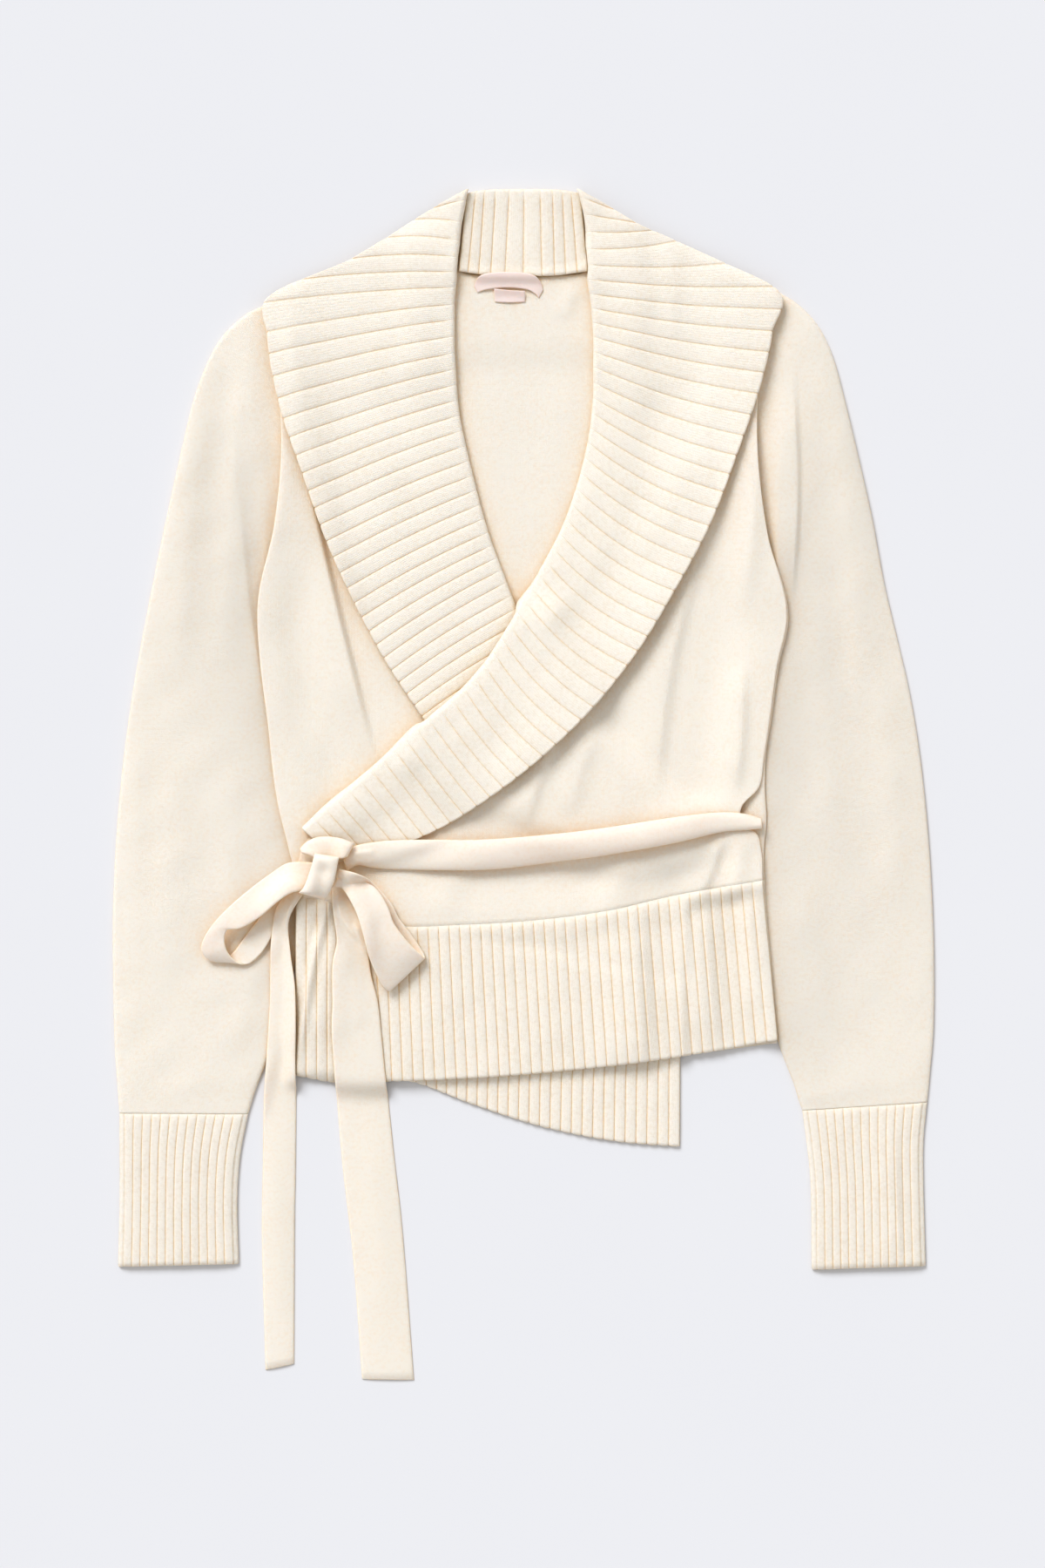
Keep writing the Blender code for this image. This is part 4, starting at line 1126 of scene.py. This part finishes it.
def make_labels():
    for node, table, along in (("neck_label", NECK_LABEL, 40), ("size_tab", SIZE_TAB, 20)):
        flat = band(table, along, 12)
        bend = np.sin(np.pi * even(along))[:, None] * (1.2 if node == "neck_label" else 0.5)
        under = HEAP.rest(flat, bend)
        top = laid(under, LABEL)
        dress(node, top, under, ribbon_stitches(flat), 0.0, "label", bulge=0.15)


def strip(grid, wall):
    """Both faces of a ribbon whose middle is the grid, each half a wall off it."""
    along = np.gradient(grid, axis=0)
    over = np.gradient(grid, axis=1)
    normal = np.cross(along, over)
    normal /= np.maximum(np.linalg.norm(normal, axis=-1, keepdims=True), 1e-9)
    return grid + normal * wall / 2, grid - normal * wall / 2


def rested(table, along, wide):
    """The sections of a loop, and how high its rows rest on the heap as it is now."""
    rows = spread(table, LOOP_COLUMNS, even(along))
    flat = across(rows[:, 0:2], rows[:, 3:5], even(wide))
    return rows, HEAP.rest(flat, 0.0, TIE_REACH)


def make_loop(node, rows, before, after):
    """One loop: its back lies on the heap before the tails, and its front passes over them."""
    over = np.clip(rows[:, 6:], 0, 1)
    share = even(before.shape[1])[None]
    lift = (1 - share) * rows[:, 2:3] + share * rows[:, 5:6]
    grid = before.copy()
    grid[..., 2] = (1 - over) * before[..., 2] + over * after[..., 2] + np.maximum(lift, 0.2)
    grid[..., 2] += TIE / 2 + 0.9 * over * (1 - (2 * share - 1) ** 2)
    outer, inner = strip(smoothed_grid(grid, 2), TIE)
    HEAP.add(np.maximum(outer, inner))
    dress(node, outer, inner, ribbon_stitches(grid), 0.0, "tie", area=area_3d(grid))


def smoothed_grid(grid, times):
    """The grid with each point drawn to its neighbours along its column."""
    for _ in range(times):
        grid = grid.copy()
        grid[1:-1] = (grid[:-2] + 2 * grid[1:-1] + grid[2:]) / 4
    return grid


def area_3d(grid):
    a, b = grid[1:, 1:] - grid[:-1, :-1], grid[1:, :-1] - grid[:-1, 1:]
    return float(np.linalg.norm(np.cross(a, b), axis=-1).sum() / 2) * MM * MM


def make_bow():
    ribbon("tie_strap", TIE_STRAP, 150, 16, curl=1.6, creases=FOLDS_STRAP, lift=1.0)
    sizes = ((LOOP_RIGHT, 150, 18), (LOOP_LEFT, 170, 18))
    backs = [rested(*size) for size in sizes]
    for rows, under in backs:
        laid(under[rows[:, 6] < 0.15], TIE + 0.5)
    ribbon("tie_tail_right", TAIL_RIGHT, 150, 20, creases=FOLDS_TAIL_RIGHT)
    ribbon("tie_tail_left", TAIL_LEFT, 150, 24, creases=FOLDS_TAIL_LEFT)
    fronts = [rested(*size) for size in sizes]
    for side, (rows, before), (_, after) in zip(("right", "left"), backs, fronts):
        make_loop("tie_loop_" + side, rows, before, after)
    ribbon("tie_wrap", TIE_WRAP, 50, 16, curl=1.6, ends=3.0)
    ribbon("tie_knot", KNOT, 60, 24, curl=2.4, thickness=KNOT_WALL, ends=5.0)


def placed(name, data):
    """A new object in the scene."""
    thing = bpy.data.objects.new(name, data)
    bpy.context.scene.collection.objects.link(thing)
    return thing


def started(name):
    """A new material, its shader, and two functions: one sets or links the inputs of a node, and
    one adds a node.
    """
    look = bpy.data.materials.new(name)
    look.use_nodes = True
    nodes, links = look.node_tree.nodes, look.node_tree.links

    def fill(node, inputs):
        for key, value in inputs.items():
            if isinstance(value, bpy.types.NodeSocket):
                links.new(value, node.inputs[key])
            else:
                node.inputs[key].default_value = value

    def add(kind, inputs, **settings):
        node = nodes.new(kind)
        for key, value in settings.items():
            setattr(node, key, value)
        fill(node, inputs)
        return node

    return look, nodes["Principled BSDF"], fill, add


def cloth(name, colour, painted_shade, weave, fibre, sheen, roughness, stitch, glow):
    """A knitted cloth: V-shaped stitches and loose fibres as bumps, uneven colour, painted shade in
    grooves.
    """
    look, shader, fill, add = started(name)

    def maths(operation, *values):
        return add("ShaderNodeMath", dict(enumerate(values)), operation=operation).outputs[0]

    def noise(scale, detail):
        inputs = {"Vector": place, "Scale": scale, "Detail": detail}
        return add("ShaderNodeTexNoise", inputs).outputs

    def arch(value):
        """0 at both ends of a stitch and 1 in its middle."""
        off = maths("ABSOLUTE", maths("MULTIPLY_ADD", value, 2.0, -1.0))
        return maths("SUBTRACT", 1.0, maths("POWER", off, 2.0))

    count = add("ShaderNodeUVMap", {}, uv_map="stitches").outputs[0]
    place = add("ShaderNodeTexCoord", {}).outputs["Object"]
    middle = {0: noise(260.0, 1.0)["Color"], 1: (0.5, 0.5, 0.5)}
    off = add("ShaderNodeVectorMath", middle, operation="SUBTRACT").outputs[0]
    off = add("ShaderNodeVectorMath", {0: off, "Scale": 0.5}, operation="SCALE").outputs[0]
    moved = add("ShaderNodeVectorMath", {0: count, 1: off}, operation="ADD").outputs[0]
    parts = add("ShaderNodeSeparateXYZ", {0: moved})
    column = maths("FRACT", parts.outputs[0])
    side = maths("ABSOLUTE", maths("MULTIPLY_ADD", column, 2.0, -1.0))
    leg = maths("POWER", arch(side), 0.6)
    turn = maths("FRACT", maths("MULTIPLY_ADD", side, -0.8, parts.outputs[1]))
    knit = maths("MULTIPLY", leg, maths("MULTIPLY_ADD", arch(turn), 0.65, 0.35))
    fine = noise(1100.0, 3.0)[0]
    coarse = noise(430.0, 2.0)[0]
    height = maths("MULTIPLY_ADD", fine, fibre, maths("MULTIPLY", knit, stitch))
    height = maths("MULTIPLY_ADD", coarse, fibre * 1.2, height)
    bump = add("ShaderNodeBump", {"Height": height, "Strength": 1.0, "Distance": weave}).outputs[0]
    # Painted shade: the colour turns towards the shade colour in the grooves between ribs, in the
    # hollows between the stitches and where other cloth is near; two noises add uneven colour as
    # well.
    groove = add("ShaderNodeAttribute", {}, attribute_name="groove").outputs["Fac"]
    stitch_shade = maths("SUBTRACT", 1.0, knit)
    shade_and_mottle = maths("MULTIPLY_ADD", groove, 0.36, maths("MULTIPLY", stitch_shade, 0.16 * stitch))
    shade_and_mottle = maths("ADD", shade_and_mottle, maths("MULTIPLY_ADD", noise(38.0, 3.0)[0], 0.2, -0.1))
    shade_and_mottle = maths("ADD", shade_and_mottle, maths("MULTIPLY_ADD", coarse, 0.6, -0.3))
    # Painted shade where other cloth is near, from ambient occlusion.
    near = add("ShaderNodeAmbientOcclusion", {"Distance": SHADE_REACH}, samples=5)
    occlusion_shade = maths("SUBTRACT", 1.0, near.outputs["AO"])
    shade_and_mottle = maths("ADD", shade_and_mottle, maths("MULTIPLY", occlusion_shade, SHADE_SHARE))
    shade_and_mottle = add("ShaderNodeClamp", {"Value": shade_and_mottle}).outputs[0]
    mixed = {0: shade_and_mottle, 6: (*colour, 1), 7: (*painted_shade, 1)}
    tone = add("ShaderNodeMix", mixed, data_type="RGBA").outputs[2]
    shader.subsurface_method = "BURLEY"
    fill(shader, {
        "Normal": bump,
        "Base Color": tone,
        "Subsurface Weight": 0.5,
        "Subsurface Radius": (1.0, 0.5, 0.18),
        "Subsurface Scale": glow,
        "Roughness": roughness,
        "Specular IOR Level": 0.25,
        "Sheen Weight": sheen,
        "Sheen Roughness": 0.45,
        "Sheen Tint": (1.0, 0.96, 0.9, 1),
    })
    return look


def surface(name, colour):
    """A matt surface of one colour, a trace uneven."""
    look, shader, fill, add = started(name)
    place = add("ShaderNodeTexCoord", {}).outputs["Object"]
    grain = add("ShaderNodeTexNoise", {"Vector": place, "Scale": 6.0, "Detail": 2.0}).outputs[0]
    other = tuple(0.985 * channel for channel in colour)
    mixed = {0: grain, 6: (*colour, 1), 7: (*other, 1)}
    tone = add("ShaderNodeMix", mixed, data_type="RGBA").outputs[2]
    fill(shader, {"Base Color": tone, "Roughness": 0.9, "Specular IOR Level": 0.1})
    return look


def make_floor():
    """The pale table that the cardigan lies on."""
    corners = [(x * TABLE_HALF, y * TABLE_HALF, 0) for x, y in ((-1, -1), (1, -1), (1, 1), (-1, 1))]
    mesh = bpy.data.meshes.new("table")
    mesh.from_pydata(corners, [], [(0, 1, 2, 3)])
    mesh.materials.append(surface("table", TABLE_COLOUR))
    placed("table", mesh)


def make_light():
    """Soft daylight from all round, and a wide lamp high at the upper left."""
    world = bpy.data.worlds.new("daylight")
    bpy.context.scene.world = world
    world.use_nodes = True
    sky = world.node_tree.nodes["Background"]
    sky.inputs["Color"].default_value = SKY_COLOUR
    sky.inputs["Strength"].default_value = SKY_STRENGTH
    data = bpy.data.lights.new("window", "SUN")
    data.energy = LAMP_STRENGTH
    data.angle = math.radians(LAMP_ANGLE)
    data.color = LAMP_COLOUR
    lamp = placed("window", data)
    lamp.rotation_euler = mathutils.Vector(LAMP_FROM).to_track_quat("Z", "Y").to_euler()


def make_camera():
    data = bpy.data.cameras.new("camera")
    data.lens = LENS
    data.sensor_width = 36
    data.clip_end = 20
    camera = placed("camera", data)
    camera.location = CAMERA_PLACE
    bpy.context.scene.camera = camera
    bpy.context.scene.view_settings.view_transform = "Standard"


LOOKS = {name: cloth(name, *values) for name, values in CLOTHS.items()}
HEAP = Heap()
make_sleeves()
fall = make_collar_fall()
make_back()
make_collar_back(fall)
make_front_under()
make_lapel_under()
ribbon("tie_root", TIE_ROOT, 30, 12)
make_front_over()
make_lapel_over()
make_labels()
make_bow()
make_floor()
make_light()
make_camera()
